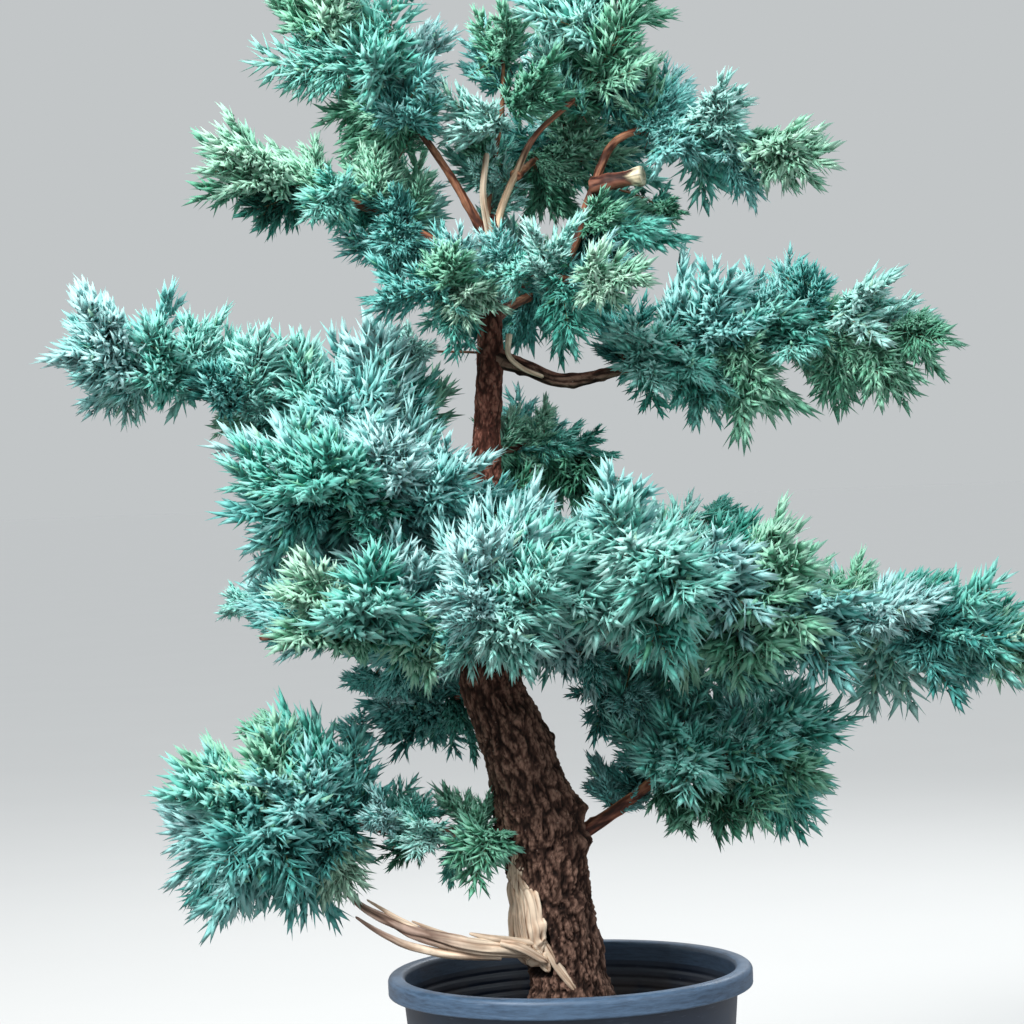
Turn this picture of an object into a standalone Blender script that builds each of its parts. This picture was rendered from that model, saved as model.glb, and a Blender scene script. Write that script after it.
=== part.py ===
"""Juniper bonsai in a round nursery pot.

Metres, +Z up. The origin is the centre of the pot's flat underside, and the tree is seen from the front along +Y.
Heights of the tree are given from the pot's rim, because that is where a grower measures from.
"""

import math

import bmesh
import bpy
from mathutils import Matrix, Vector

# Pot
POT_HEIGHT = 0.260
RIM_DIAMETER = 0.300
BASE_DIAMETER = 0.232
WALL = 0.003
FLOOR = 0.004
LIP_OVERHANG = 0.011
LIP_HEIGHT = 0.016
LIP_THICKNESS = 0.003
LIP_ROUND = 0.005
FOOT_CHAMFER = 0.002
RIB_COUNT = 5
RIB_PITCH = 0.0085
RIB_DEPTH = 0.0010
DRAIN_COUNT = 6
DRAIN_DIAMETER = 0.018
DRAIN_HEIGHT = 0.014

# Soil
SOIL_DROP = 0.056  # from the rim down to the soil at the wall
SOIL_MOUND = 0.008  # how much higher it stands round the trunk

# Tree
CROWN_WIDTH = 0.830
CROWN_HEIGHT = 0.840  # from the rim to the top of the tree
TRUNK_DIAMETER = 0.064  # at the rim
ROOT_DEPTH = 0.120  # how far the trunk's foot goes below the rim
DEADWOOD_STAND_OFF = 0.85  # where the stripped wood's middle lies, as a share of the trunk's radius

# Fits
GAP = 0.0003  # between pieces that touch
ROUND_SEGMENTS = 48  # pot and soil share them, so their facets stay parallel

# The routes and pads below are drawn for a crown of this width and height
DRAWN_WIDTH = 0.830
DRAWN_HEIGHT = 0.840

# x, y, height from the rim, thickness as a share of the trunk's diameter
TRUNK_ROUTE = (
    (0.004, 0.000, -ROOT_DEPTH, 0.95),
    (0.003, 0.000, -0.085, 1.30),
    (0.002, 0.000, -0.055, 1.38),
    (0.000, 0.000, -0.020, 1.05),
    (-0.005, 0.000, 0.015, 0.97),
    (-0.013, -0.001, 0.056, 1.00),
    (-0.020, -0.003, 0.113, 1.10),
    (-0.030, -0.005, 0.155, 0.98),
    (-0.041, -0.007, 0.196, 0.87),
    (-0.055, -0.008, 0.235, 0.78),
    (-0.059, -0.006, 0.290, 0.66),
    (-0.054, -0.002, 0.370, 0.46),
    (-0.052, 0.003, 0.435, 0.36),
    (-0.046, 0.004, 0.508, 0.34),
    (-0.044, 0.003, 0.565, 0.26),
    (-0.042, 0.001, 0.602, 0.29),
    (-0.040, 0.000, 0.618, 0.20),
)

# Height from the rim, angle round the trunk, thickness
DEADWOOD_STRIP = (
    (0.104, 203.0, 0.010),
    (0.086, 211.0, 0.026),
    (0.060, 218.0, 0.035),
    (0.036, 226.0, 0.035),
    (0.016, 238.0, 0.028),
    (-0.002, 252.0, 0.013),
    (-0.022, 262.0, 0.008),
)

# The long dead branch leaves the strip here: height from the rim, angle round the trunk
JIN_SEAT = (0.018, 236.0)

# x, y, height from its seat, thickness
JIN_ROUTE = (
    (0.000, 0.000, 0.000, 0.017),
    (-0.036, -0.004, 0.002, 0.016),
    (-0.084, -0.005, 0.009, 0.015),
    (-0.120, -0.003, 0.020, 0.011),
    (-0.156, 0.001, 0.044, 0.006),
)

# The strand that has split away under its end
STRAND_ROUTE = (
    (-0.078, -0.005, 0.008, 0.006),
    (-0.120, -0.005, 0.012, 0.006),
    (-0.152, -0.005, 0.031, 0.003),
)

# name: material, thickness at the start, thickness at the tip, points (x, y, height from the rim)
BRANCHES = {
    "branch_low_left": (
        "bark", 0.018, 0.006,
        ((-0.020, 0.000, 0.122), (-0.070, -0.008, 0.110), (-0.130, -0.015, 0.120),
         (-0.200, -0.018, 0.132), (-0.268, -0.020, 0.126)),
    ),
    "branch_low_right": (
        "young_bark", 0.015, 0.005,
        ((-0.010, 0.000, 0.098), (0.025, 0.000, 0.117), (0.060, 0.002, 0.140),
         (0.092, 0.003, 0.160), (0.150, -0.004, 0.172)),
    ),
    "branch_back_low_left": (
        "bark", 0.010, 0.004,
        ((-0.050, 0.000, 0.226), (-0.076, 0.034, 0.228), (-0.106, 0.062, 0.208)),
    ),
    "branch_back_low": (
        "bark", 0.015, 0.005,
        ((-0.057, 0.000, 0.262), (-0.012, 0.055, 0.287), (0.030, 0.120, 0.293), (0.050, 0.184, 0.288)),
    ),
    "branch_left_lower": (
        "bark", 0.018, 0.006,
        ((-0.056, -0.004, 0.266), (-0.094, -0.050, 0.288), (-0.155, -0.086, 0.291), (-0.232, -0.108, 0.287)),
    ),
    "branch_front_low": (
        "bark", 0.012, 0.004,
        ((-0.058, -0.004, 0.280), (-0.050, -0.050, 0.300), (-0.046, -0.110, 0.308), (-0.045, -0.186, 0.299)),
    ),
    "branch_right_main": (
        "bark", 0.021, 0.006,
        ((-0.056, -0.004, 0.292), (-0.012, -0.006, 0.320), (0.060, -0.014, 0.324), (0.150, -0.018, 0.302),
         (0.250, -0.018, 0.278), (0.350, -0.020, 0.254)),
    ),
    "branch_right_front": (
        "bark", 0.013, 0.005,
        ((-0.006, -0.006, 0.322), (0.028, -0.054, 0.333), (0.066, -0.110, 0.331), (0.096, -0.156, 0.326)),
    ),
    "branch_back_right": (
        "bark", 0.011, 0.004,
        ((0.070, -0.014, 0.322), (0.108, 0.050, 0.312), (0.158, 0.130, 0.298)),
    ),
    "branch_left_middle": (
        "bark", 0.016, 0.005,
        ((-0.055, -0.003, 0.348), (-0.094, -0.036, 0.382), (-0.160, -0.074, 0.400), (-0.228, -0.106, 0.398)),
    ),
    "branch_back_left": (
        "bark", 0.012, 0.004,
        ((-0.054, 0.000, 0.372), (-0.092, 0.052, 0.376), (-0.140, 0.110, 0.366), (-0.174, 0.160, 0.357)),
    ),
    "branch_left_upper": (
        "young_bark", 0.015, 0.006,
        ((-0.053, 0.002, 0.402), (-0.092, 0.000, 0.425), (-0.140, -0.005, 0.437), (-0.184, -0.009, 0.448),
         (-0.252, -0.016, 0.470), (-0.330, -0.022, 0.506)),
    ),
    "branch_back_middle": (
        "bark", 0.009, 0.004,
        ((-0.052, 0.002, 0.426), (-0.024, 0.036, 0.430), (0.044, 0.074, 0.433)),
    ),
    "branch_right_upper": (
        "young_bark", 0.014, 0.005,
        ((-0.046, 0.004, 0.505), (-0.018, 0.000, 0.495), (0.014, -0.002, 0.483), (0.060, -0.002, 0.490),
         (0.130, 0.000, 0.512), (0.215, -0.003, 0.526), (0.300, -0.006, 0.512)),
    ),
    "branch_back_upper": (
        "young_bark", 0.010, 0.004,
        ((-0.045, 0.004, 0.535), (-0.020, 0.052, 0.553), (0.008, 0.118, 0.566), (0.016, 0.160, 0.568)),
    ),
    "branch_crown_right": (
        "young_bark", 0.013, 0.005,
        ((-0.044, 0.003, 0.556), (-0.010, 0.014, 0.566), (0.022, 0.006, 0.588), (0.042, 0.002, 0.636),
         (0.067, 0.000, 0.680), (0.130, -0.003, 0.686), (0.190, -0.006, 0.662)),
    ),
    "branch_crown_front": (
        "young_bark", 0.010, 0.004,
        ((-0.043, 0.002, 0.578), (-0.032, -0.034, 0.574), (-0.006, -0.066, 0.566), (0.036, -0.098, 0.557)),
    ),
    "branch_crown_front_left": (
        "young_bark", 0.008, 0.004,
        ((-0.044, 0.002, 0.560), (-0.066, -0.034, 0.562), (-0.098, -0.078, 0.555)),
    ),
    "branch_crown_left_low": (
        "young_bark", 0.010, 0.004,
        ((-0.043, 0.002, 0.580), (-0.068, 0.002, 0.590), (-0.096, 0.002, 0.606), (-0.150, 0.000, 0.634),
         (-0.232, -0.005, 0.662)),
    ),
    "branch_crown_left": (
        "young_bark", 0.011, 0.005,
        ((-0.044, 0.000, 0.598), (-0.060, -0.004, 0.630), (-0.080, -0.008, 0.665), (-0.107, -0.012, 0.704),
         (-0.162, -0.020, 0.766)),
    ),
    "branch_crown_centre": (
        "deadwood", 0.010, 0.004,
        ((-0.038, 0.000, 0.602), (-0.033, -0.003, 0.624), (-0.019, -0.003, 0.655), (0.000, -0.003, 0.687),
         (0.050, 0.000, 0.734), (0.050, 0.006, 0.790)),
    ),
    "branch_crown_middle": (
        "young_bark", 0.007, 0.004,
        ((-0.043, 0.003, 0.600), (-0.044, 0.015, 0.625), (-0.038, 0.010, 0.660), (-0.029, -0.012, 0.705),
         (-0.026, -0.028, 0.750)),
    ),
    "branch_crown_back": (
        "young_bark", 0.007, 0.003,
        ((-0.020, -0.003, 0.652), (0.002, 0.042, 0.672), (0.040, 0.092, 0.692)),
    ),
}

# The same for the sawn stub and the small dead twigs
STUBS = {
    "stub_crown_right": ("young_bark", 0.012, 0.011, ((0.044, 0.002, 0.641), (0.060, -0.006, 0.644),
                                                      (0.083, -0.016, 0.647))),
    "jin_fork": ("deadwood", 0.008, 0.003, ((-0.046, 0.000, 0.516), (-0.032, -0.008, 0.512),
                                            (-0.006, -0.012, 0.498))),
    "jin_crown": ("deadwood", 0.007, 0.005, ((-0.043, -0.004, 0.604), (-0.047, -0.013, 0.636),
                                             (-0.043, -0.014, 0.668))),
}

# name: root end, tip end (x, y, height from the rim), width, height
FOLIAGE = {
    "foliage_low_left": ((-0.148, -0.015, 0.152), (-0.320, -0.024, 0.116), 0.165, 0.172),
    "foliage_low_left_inner": ((-0.036, -0.030, 0.114), (-0.160, -0.018, 0.108), 0.090, 0.068),
    "foliage_low_right": ((0.058, 0.010, 0.218), (0.206, -0.008, 0.146), 0.140, 0.104),
    "foliage_front_low": ((-0.045, -0.070, 0.318), (-0.044, -0.235, 0.294), 0.150, 0.100),
    "foliage_right_front": ((-0.034, -0.060, 0.346), (0.116, -0.188, 0.324), 0.130, 0.116),
    "foliage_right_middle": ((0.058, -0.008, 0.322), (0.253, -0.060, 0.289), 0.190, 0.134),
    "foliage_right_tip": ((0.216, -0.012, 0.288), (0.413, -0.020, 0.238), 0.150, 0.106),
    "foliage_left_lower": ((-0.050, -0.080, 0.300), (-0.271, -0.120, 0.288), 0.150, 0.100),
    "foliage_left_middle": ((-0.072, -0.030, 0.398), (-0.266, -0.125, 0.396), 0.160, 0.120),
    "foliage_left_upper": ((-0.084, 0.000, 0.486), (-0.240, -0.018, 0.494), 0.150, 0.096),
    "foliage_left_tip": ((-0.214, -0.010, 0.478), (-0.421, -0.030, 0.528), 0.125, 0.088),
    "foliage_right_upper": ((0.046, 0.000, 0.506), (0.216, 0.000, 0.520), 0.140, 0.106),
    "foliage_right_upper_tip": ((0.198, 0.000, 0.532), (0.350, -0.008, 0.492), 0.130, 0.092),
    "foliage_crown_front": ((-0.036, -0.046, 0.566), (0.077, -0.125, 0.549), 0.100, 0.076),
    "foliage_crown_front_left": ((-0.052, -0.016, 0.566), (-0.122, -0.110, 0.549), 0.090, 0.072),
    "foliage_crown_under": ((0.024, 0.010, 0.604), (0.154, 0.030, 0.594), 0.100, 0.060),
    "foliage_crown_left_low": ((-0.090, 0.006, 0.628), (-0.300, -0.010, 0.672), 0.110, 0.080),
    "foliage_crown_left": ((-0.066, -0.006, 0.692), (-0.225, -0.045, 0.812), 0.110, 0.086),
    "foliage_crown_middle": ((-0.030, -0.028, 0.664), (-0.024, -0.030, 0.792), 0.084, 0.084),
    "foliage_crown_top": ((0.030, 0.006, 0.690), (0.048, 0.008, 0.838), 0.112, 0.104),
    "foliage_crown_right": ((0.074, 0.000, 0.692), (0.242, -0.030, 0.633), 0.135, 0.098),
    "foliage_back_low_left": ((-0.070, 0.030, 0.236), (-0.124, 0.078, 0.190), 0.074, 0.064),
    "foliage_back_low": ((0.004, 0.070, 0.300), (0.060, 0.222, 0.284), 0.180, 0.116),
    "foliage_back_right": ((0.104, 0.066, 0.310), (0.190, 0.196, 0.286), 0.150, 0.110),
    "foliage_back_left": ((-0.104, 0.064, 0.384), (-0.196, 0.196, 0.350), 0.165, 0.120),
    "foliage_back_middle": ((-0.024, 0.034, 0.432), (0.086, 0.092, 0.432), 0.092, 0.066),
    "foliage_back_upper": ((-0.020, 0.060, 0.562), (0.024, 0.192, 0.566), 0.140, 0.100),
    "foliage_crown_back": ((0.000, 0.040, 0.672), (0.062, 0.140, 0.702), 0.120, 0.096),
}

# colour, roughness
FINISHES = {
    "pot_plastic": ((0.024, 0.036, 0.055), 0.45),
    "soil": ((0.030, 0.022, 0.017), 0.95),
    "bark": ((0.060, 0.036, 0.025), 0.90),
    "young_bark": ((0.165, 0.062, 0.040), 0.70),
    "deadwood": ((0.560, 0.400, 0.240), 0.75),
    "foliage": ((0.150, 0.330, 0.310), 0.65),
}


def start_scene():
    """Clears the scene and makes the two collections: the object's pieces, and the cutters."""
    for old in list(bpy.data.objects):
        bpy.data.objects.remove(old)
    pieces = bpy.data.collections.new("juniper_bonsai")
    cutters = bpy.data.collections.new("cutters")
    for group in (pieces, cutters):
        bpy.context.scene.collection.children.link(group)
    return pieces, cutters


def finish(name):
    """The material of one finish, made once."""
    if name in bpy.data.materials:
        return bpy.data.materials[name]
    colour, roughness = FINISHES[name]
    material = bpy.data.materials.new(name)
    material.use_nodes = True
    shader = material.node_tree.nodes["Principled BSDF"]
    shader.inputs["Base Color"].default_value = (*colour, 1.0)
    shader.inputs["Roughness"].default_value = roughness
    shader.inputs["Metallic"].default_value = 0.0
    material.diffuse_color = (*colour, 1.0)
    return material


def add(name, mesh, group):
    obj = bpy.data.objects.new(name, mesh)
    group.objects.link(obj)
    return obj


def baked(obj):
    """The object's mesh with its modifiers applied."""
    graph = bpy.context.evaluated_depsgraph_get()
    return bpy.data.meshes.new_from_object(obj.evaluated_get(graph))


def in_tree(point):
    """A drawn point of the tree, put on the pot and stretched to the crown's width and height."""
    x, y, height = point
    across = CROWN_WIDTH / DRAWN_WIDTH
    if height > 0.0:
        height *= CROWN_HEIGHT / DRAWN_HEIGHT
    return Vector((x * across, y * across, POT_HEIGHT + height))


def smooth_route(stations, steps):
    """A Catmull-Rom curve through (point, radius) stations, with so many steps from one to the next."""
    rows = [Vector((*point, radius)) for point, radius in stations]
    rows = [2 * rows[0] - rows[1], *rows, 2 * rows[-1] - rows[-2]]
    route = []
    for before, start, end, after in zip(rows, rows[1:], rows[2:], rows[3:]):
        for step in range(steps):
            t = step / steps
            bend = (end - before) * t + (2 * before - 5 * start + 4 * end - after) * t**2
            route.append(start + 0.5 * (bend + (3 * start - before - 3 * end + after) * t**3))
    route.append(rows[-2])
    return [(row.xyz, row.w) for row in route]


def tube_mesh(name, stations, steps, resolution, grow=0.0):
    """A closed limb of changing thickness. With grow it is that much larger all over, to cut its neighbours."""
    route = smooth_route(stations, steps)
    points = [point for point, radius in route]
    points[0] = points[0] - (points[1] - points[0]).normalized() * grow
    points[-1] = points[-1] + (points[-1] - points[-2]).normalized() * grow
    curve = bpy.data.curves.new(name, "CURVE")
    curve.dimensions = "3D"
    curve.bevel_depth = 1.0
    curve.bevel_resolution = resolution
    curve.use_fill_caps = True
    spline = curve.splines.new("POLY")
    spline.points.add(len(points) - 1)
    for knot, point, (_, radius) in zip(spline.points, points, route):
        knot.co = (*point, 1.0)
        knot.radius = radius + grow
    holder = add(name, curve, bpy.context.scene.collection)
    mesh = baked(holder)
    bpy.data.objects.remove(holder)
    bpy.data.curves.remove(curve)
    solid = bmesh.new()
    solid.from_mesh(mesh)
    bmesh.ops.remove_doubles(solid, verts=solid.verts, dist=1e-6)
    bmesh.ops.recalc_face_normals(solid, faces=solid.faces)
    solid.to_mesh(mesh)
    solid.free()
    return mesh


def pad_mesh(name, root, tip, width, height, grow=0.0):
    """A plain closed body for one spray: a spheroid from its root end to its tip end."""
    root, tip = in_tree(root), in_tree(tip)
    along = (tip - root).normalized()
    side = along.cross(Vector((0, 0, 1))).normalized()
    up = side.cross(along).normalized()
    half = ((tip - root).length / 2 + grow, width / 2 + grow, height / 2 + grow)
    frame = Matrix((along * half[0], side * half[1], up * half[2])).transposed().to_4x4()
    frame.translation = (root + tip) / 2
    mesh = bpy.data.meshes.new(name)
    solid = bmesh.new()
    poles_along_x = Matrix.Rotation(math.pi / 2, 4, "Y")
    bmesh.ops.create_uvsphere(solid, u_segments=12, v_segments=8, radius=1.0, matrix=frame @ poles_along_x)
    bmesh.ops.recalc_face_normals(solid, faces=solid.faces)
    solid.to_mesh(mesh)
    solid.free()
    return mesh


def turned(name, profile, group):
    """A profile of (radius, height) points, from the axis round to the axis, turned about Z."""
    mesh = bpy.data.meshes.new(name)
    outline = bmesh.new()
    verts = [outline.verts.new((radius, 0.0, height)) for radius, height in profile]
    for start, end in zip(verts, verts[1:]):
        outline.edges.new((start, end))
    outline.to_mesh(mesh)
    outline.free()
    obj = add(name, mesh, group)
    turn = obj.modifiers.new("Turn", "SCREW")
    turn.steps = ROUND_SEGMENTS
    turn.render_steps = ROUND_SEGMENTS
    turn.use_merge_vertices = True
    turn.merge_threshold = 1e-5
    obj.data = baked(obj)
    obj.modifiers.clear()
    return obj


def corners(obj):
    """Lowest and highest corner of a piece, which stands at the origin with its place in its mesh."""
    points = [vert.co for vert in obj.data.vertices]
    low = Vector([min(point[axis] for point in points) for axis in range(3)])
    high = Vector([max(point[axis] for point in points) for axis in range(3)])
    return low, high


def near(first, second):
    low_a, high_a = corners(first)
    low_b, high_b = corners(second)
    return all(low_a[i] < high_b[i] and low_b[i] < high_a[i] for i in range(3))


def main_body(mesh):
    """Welds the seams of a cut, and drops the crumbs that it leaves beside the piece itself."""
    solid = bmesh.new()
    solid.from_mesh(mesh)
    bmesh.ops.remove_doubles(solid, verts=solid.verts, dist=2e-6)
    bmesh.ops.dissolve_degenerate(solid, edges=solid.edges, dist=2e-6)
    waiting = set(solid.faces)
    bodies = []
    while waiting:
        body, rim = set(), [waiting.pop()]
        while rim:
            face = rim.pop()
            body.add(face)
            for neighbour in {other for edge in face.edges for other in edge.link_faces}:
                if neighbour in waiting:
                    waiting.remove(neighbour)
                    rim.append(neighbour)
        bodies.append(body)
    largest = max(bodies, key=lambda faces: sum(face.calc_area() for face in faces))
    crumbs = [face for body in bodies if body is not largest for face in body]
    bmesh.ops.delete(solid, geom=crumbs, context="FACES")
    bmesh.ops.triangulate(solid, faces=solid.faces)
    solid.to_mesh(mesh)
    solid.free()


def cut_away(obj, tools):
    """Cuts every near tool out of the piece."""
    reached = [tool for tool in tools if near(obj, tool)]
    if not reached:
        return
    for tool in reached:
        cut = obj.modifiers.new(tool.name, "BOOLEAN")
        cut.operation = "DIFFERENCE"
        cut.object = tool
    obj.data = baked(obj)
    obj.modifiers.clear()
    main_body(obj.data)


def cutter(name, mesh, group):
    obj = add(name, mesh, group)
    obj.hide_render = True
    obj.display_type = "WIRE"
    return obj


def wall_radius(height):
    """Outer radius of the pot's tapered wall at a height."""
    top = RIM_DIAMETER / 2 - LIP_OVERHANG
    base = BASE_DIAMETER / 2
    return base + (top - base) * height / POT_HEIGHT


def inner_radius(height):
    return wall_radius(height) - WALL


def pot_profile():
    """From the middle of the inside floor up the inside, over the lip and down the outside to the underside."""
    profile = [(0.0, FLOOR), (inner_radius(FLOOR), FLOOR)]
    highest_rib = POT_HEIGHT - LIP_HEIGHT
    for number in reversed(range(RIB_COUNT)):
        middle = highest_rib - number * RIB_PITCH
        for offset, depth in ((-0.25, 0.0), (0.0, RIB_DEPTH), (0.25, 0.0)):
            height = middle + offset * RIB_PITCH
            profile.append((inner_radius(height) + depth, height))
    rim = RIM_DIAMETER / 2
    shoulder = POT_HEIGHT - LIP_ROUND
    mouth = inner_radius(shoulder)
    for centre, start in ((mouth + LIP_ROUND, 180.0), (rim - LIP_ROUND, 90.0)):
        for turn in (0.0, 45.0, 90.0):
            angle = math.radians(start - turn)
            profile.append((centre + LIP_ROUND * math.cos(angle), shoulder + LIP_ROUND * math.sin(angle)))
    under = POT_HEIGHT - LIP_HEIGHT
    tuck = POT_HEIGHT - LIP_HEIGHT / 2
    profile += [
        (rim, under),
        (rim - LIP_THICKNESS, under),
        (rim - LIP_THICKNESS, tuck),
        (wall_radius(tuck), tuck),
        (wall_radius(FOOT_CHAMFER), FOOT_CHAMFER),
        (BASE_DIAMETER / 2 - FOOT_CHAMFER, 0.0),
        (0.0, 0.0),
    ]
    return profile


def make_pot(pieces, cutters):
    pot = turned("nursery_pot", pot_profile(), pieces)
    holes = []
    for number in range(DRAIN_COUNT):
        angle = math.tau * (number + 0.5) / DRAIN_COUNT
        reach = BASE_DIAMETER / 2 - DRAIN_DIAMETER / 3
        mesh = bpy.data.meshes.new("drain")
        solid = bmesh.new()
        place = Matrix.Translation((reach * math.cos(angle), reach * math.sin(angle), 0.0))
        bmesh.ops.create_cone(
            solid, cap_ends=True, segments=12, radius1=DRAIN_DIAMETER / 2, radius2=DRAIN_DIAMETER / 2,
            depth=2 * DRAIN_HEIGHT, matrix=place,
        )
        solid.to_mesh(mesh)
        solid.free()
        holes.append(cutter(f"drain_{number}", mesh, cutters))
    cut_away(pot, holes)
    pot.data.materials.clear()
    pot.data.materials.append(finish("pot_plastic"))


def make_soil(pieces):
    level = POT_HEIGHT - SOIL_DROP
    edge = inner_radius(level) - GAP
    bottom = FLOOR + GAP
    profile = [(0.0, level + SOIL_MOUND)]
    for share in (0.25, 0.5, 0.75):
        profile.append((edge * share, level + SOIL_MOUND * (0.5 + 0.5 * math.cos(math.pi * share))))
    profile += [
        (edge, level),
        (inner_radius(bottom) - GAP, bottom),
        (0.0, bottom),
    ]
    soil = turned("potting_soil", profile, pieces)
    return soil


def trunk_stations():
    return [(in_tree(row[:3]), row[3] * TRUNK_DIAMETER / 2) for row in TRUNK_ROUTE]


def on_trunk(height, angle):
    """A point beside the trunk's axis at a height over the rim, where the deadwood's middle lies."""
    route = smooth_route(trunk_stations(), 8)
    level = in_tree((0.0, 0.0, height)).z
    centre, radius = min(route, key=lambda row: abs(row[0].z - level))
    turn = math.radians(angle)
    reach = radius * DEADWOOD_STAND_OFF
    return Vector((centre.x + reach * math.cos(turn), centre.y + reach * math.sin(turn), level))


def strip_stations():
    return [(on_trunk(height, angle), thickness / 2) for height, angle, thickness in DEADWOOD_STRIP]


def from_jin_seat(route):
    """Stations of the dead branch or its strand, whose route starts where it leaves the deadwood strip."""
    seat = on_trunk(*JIN_SEAT)
    return [(seat + Vector((x, y, z)), thickness / 2) for x, y, z, thickness in route]


def tapered(points, thick, thin):
    """Stations along a drawn route whose thickness falls evenly from the start to the tip."""
    last = len(points) - 1
    return [
        (in_tree(point), (thick + (thin - thick) * number / last) / 2) for number, point in enumerate(points)
    ]


class Tree:
    """Makes the pieces in order, and keeps a slightly larger copy of each that cuts the ones after it."""

    def __init__(self, pieces, cutters):
        self.pieces = pieces
        self.cutters = cutters
        self.made = []

    def keep(self, name, mesh, larger, material):
        obj = add(name, mesh, self.pieces)
        cut_away(obj, self.made)
        obj.data.materials.clear()
        obj.data.materials.append(finish(material))
        self.made.append(cutter(f"room_for_{name}", larger, self.cutters))
        return obj

    def limb(self, name, stations, material, steps=2, resolution=2):
        mesh = tube_mesh(name, stations, steps, resolution)
        larger = tube_mesh(name, stations, steps, resolution, GAP)
        return self.keep(name, mesh, larger, material)

    def pad(self, name, root, tip, width, height):
        mesh = pad_mesh(name, root, tip, width, height)
        larger = pad_mesh(name, root, tip, width, height, GAP)
        return self.keep(name, mesh, larger, "foliage")


def join_strand(jin, stations):
    """Makes the split strand one body with the dead branch."""
    strand = add("strand", tube_mesh("strand", stations, 2, 1), bpy.context.scene.collection)
    union = jin.modifiers.new("Strand", "BOOLEAN")
    union.operation = "UNION"
    union.object = strand
    jin.data = baked(jin)
    jin.modifiers.clear()
    bpy.data.objects.remove(strand)
    main_body(jin.data)


def make_tree(pieces, cutters):
    tree = Tree(pieces, cutters)
    tree.limb("trunk", trunk_stations(), "bark", resolution=4)
    tree.limb("deadwood_strip", strip_stations(), "deadwood", resolution=3)
    jin = tree.limb("jin_low_left", from_jin_seat(JIN_ROUTE), "deadwood")
    join_strand(jin, from_jin_seat(STRAND_ROUTE))
    for name, (material, thick, thin, points) in BRANCHES.items():
        tree.limb(name, tapered(points, thick, thin), material)
    for name, (material, thick, thin, points) in STUBS.items():
        tree.limb(name, tapered(points, thick, thin), material)
    for name, (root, tip, width, height) in FOLIAGE.items():
        tree.pad(name, root, tip, width, height)
    return tree


def shade(pieces):
    for obj in pieces.objects:
        obj.data.shade_smooth()
        obj.data.set_sharp_from_angle(angle=math.radians(40))


def main():
    pieces, cutters = start_scene()
    make_pot(pieces, cutters)
    soil = make_soil(pieces)
    tree = make_tree(pieces, cutters)
    room_for_trunk_and_strip = tree.made[:2]
    cut_away(soil, room_for_trunk_and_strip)
    soil.data.materials.clear()
    soil.data.materials.append(finish("soil"))
    shade(pieces)


main()
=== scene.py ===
import math
import random

import bmesh
import bpy
import numpy as np
from mathutils import Matrix, Vector, noise


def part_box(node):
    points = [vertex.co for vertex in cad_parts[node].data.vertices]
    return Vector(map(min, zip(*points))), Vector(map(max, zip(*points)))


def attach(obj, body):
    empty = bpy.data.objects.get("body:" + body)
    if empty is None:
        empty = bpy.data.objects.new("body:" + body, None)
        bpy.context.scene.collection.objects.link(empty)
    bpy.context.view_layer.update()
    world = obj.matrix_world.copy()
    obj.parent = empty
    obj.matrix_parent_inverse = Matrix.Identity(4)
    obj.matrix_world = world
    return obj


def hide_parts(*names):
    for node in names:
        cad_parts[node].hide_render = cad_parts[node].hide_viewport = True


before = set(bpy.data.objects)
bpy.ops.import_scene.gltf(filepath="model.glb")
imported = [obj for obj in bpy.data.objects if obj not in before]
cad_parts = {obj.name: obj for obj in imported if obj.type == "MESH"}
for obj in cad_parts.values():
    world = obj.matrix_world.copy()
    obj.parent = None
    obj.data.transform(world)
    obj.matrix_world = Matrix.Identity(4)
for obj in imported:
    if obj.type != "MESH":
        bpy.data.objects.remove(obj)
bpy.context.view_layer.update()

# A blue juniper in a plastic nursery pot. Metres, +Z up, the front faces -Y.
# Heights of the tree are given from the pot's rim.
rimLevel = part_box("nursery_pot")[1][2]
trunkThickness = 0.064  # at the rim
upward = Vector((0.0, 0.0, 1.0))
noise.seed_set(7)  # without a seed, noise_vector differs from run to run


def camelName(node):
    first, *rest = node.split("_")
    return first + "".join(word.capitalize() for word in rest)


def overRim(point):
    return Vector((point[0], point[1], rimLevel + point[2]))


def clamp(value, low=0.0, high=1.0):
    return max(low, min(high, value))


def ease(value, low, high):
    # 0 below low, 1 above high, smooth between
    t = clamp((value - low) / (high - low))
    return t * t * (3.0 - 2.0 * t)


def addPiece(node, build, material):
    # turns a finished bmesh into the piece that stands for a CAD node
    name = camelName(node)
    mesh = bpy.data.meshes.new(name)
    build.to_mesh(mesh)
    build.free()
    mesh.shade_smooth()
    mesh.materials.append(material)
    piece = bpy.data.objects.new(name, mesh)
    bpy.context.scene.collection.objects.link(piece)
    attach(piece, "root")
    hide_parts(node)
    return piece


# ---- shader helpers ----

def addNode(tree, kind, inputs=None, **settings):
    node = tree.nodes.new(kind)
    for key, value in settings.items():
        setattr(node, key, value)
    for socket, value in (inputs or {}).items():
        if isinstance(value, bpy.types.NodeSocket):
            tree.links.new(value, node.inputs[socket])
        else:
            node.inputs[socket].default_value = value
    return node


def maths(tree, operation, first, second=0.0, third=0.0, clampIt=False):
    node = addNode(tree, "ShaderNodeMath", {0: first, 1: second, 2: third}, operation=operation)
    node.use_clamp = clampIt
    return node.outputs[0]


def mixColour(tree, factor, first, second, blend="MIX"):
    node = addNode(tree, "ShaderNodeMix", data_type="RGBA", blend_type=blend)
    for index, value in ((0, factor), (6, first), (7, second)):
        if isinstance(value, bpy.types.NodeSocket):
            tree.links.new(value, node.inputs[index])
        elif index:
            node.inputs[index].default_value = (*value, 1.0)
        else:
            node.inputs[index].default_value = value
    return node.outputs[2]


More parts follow.
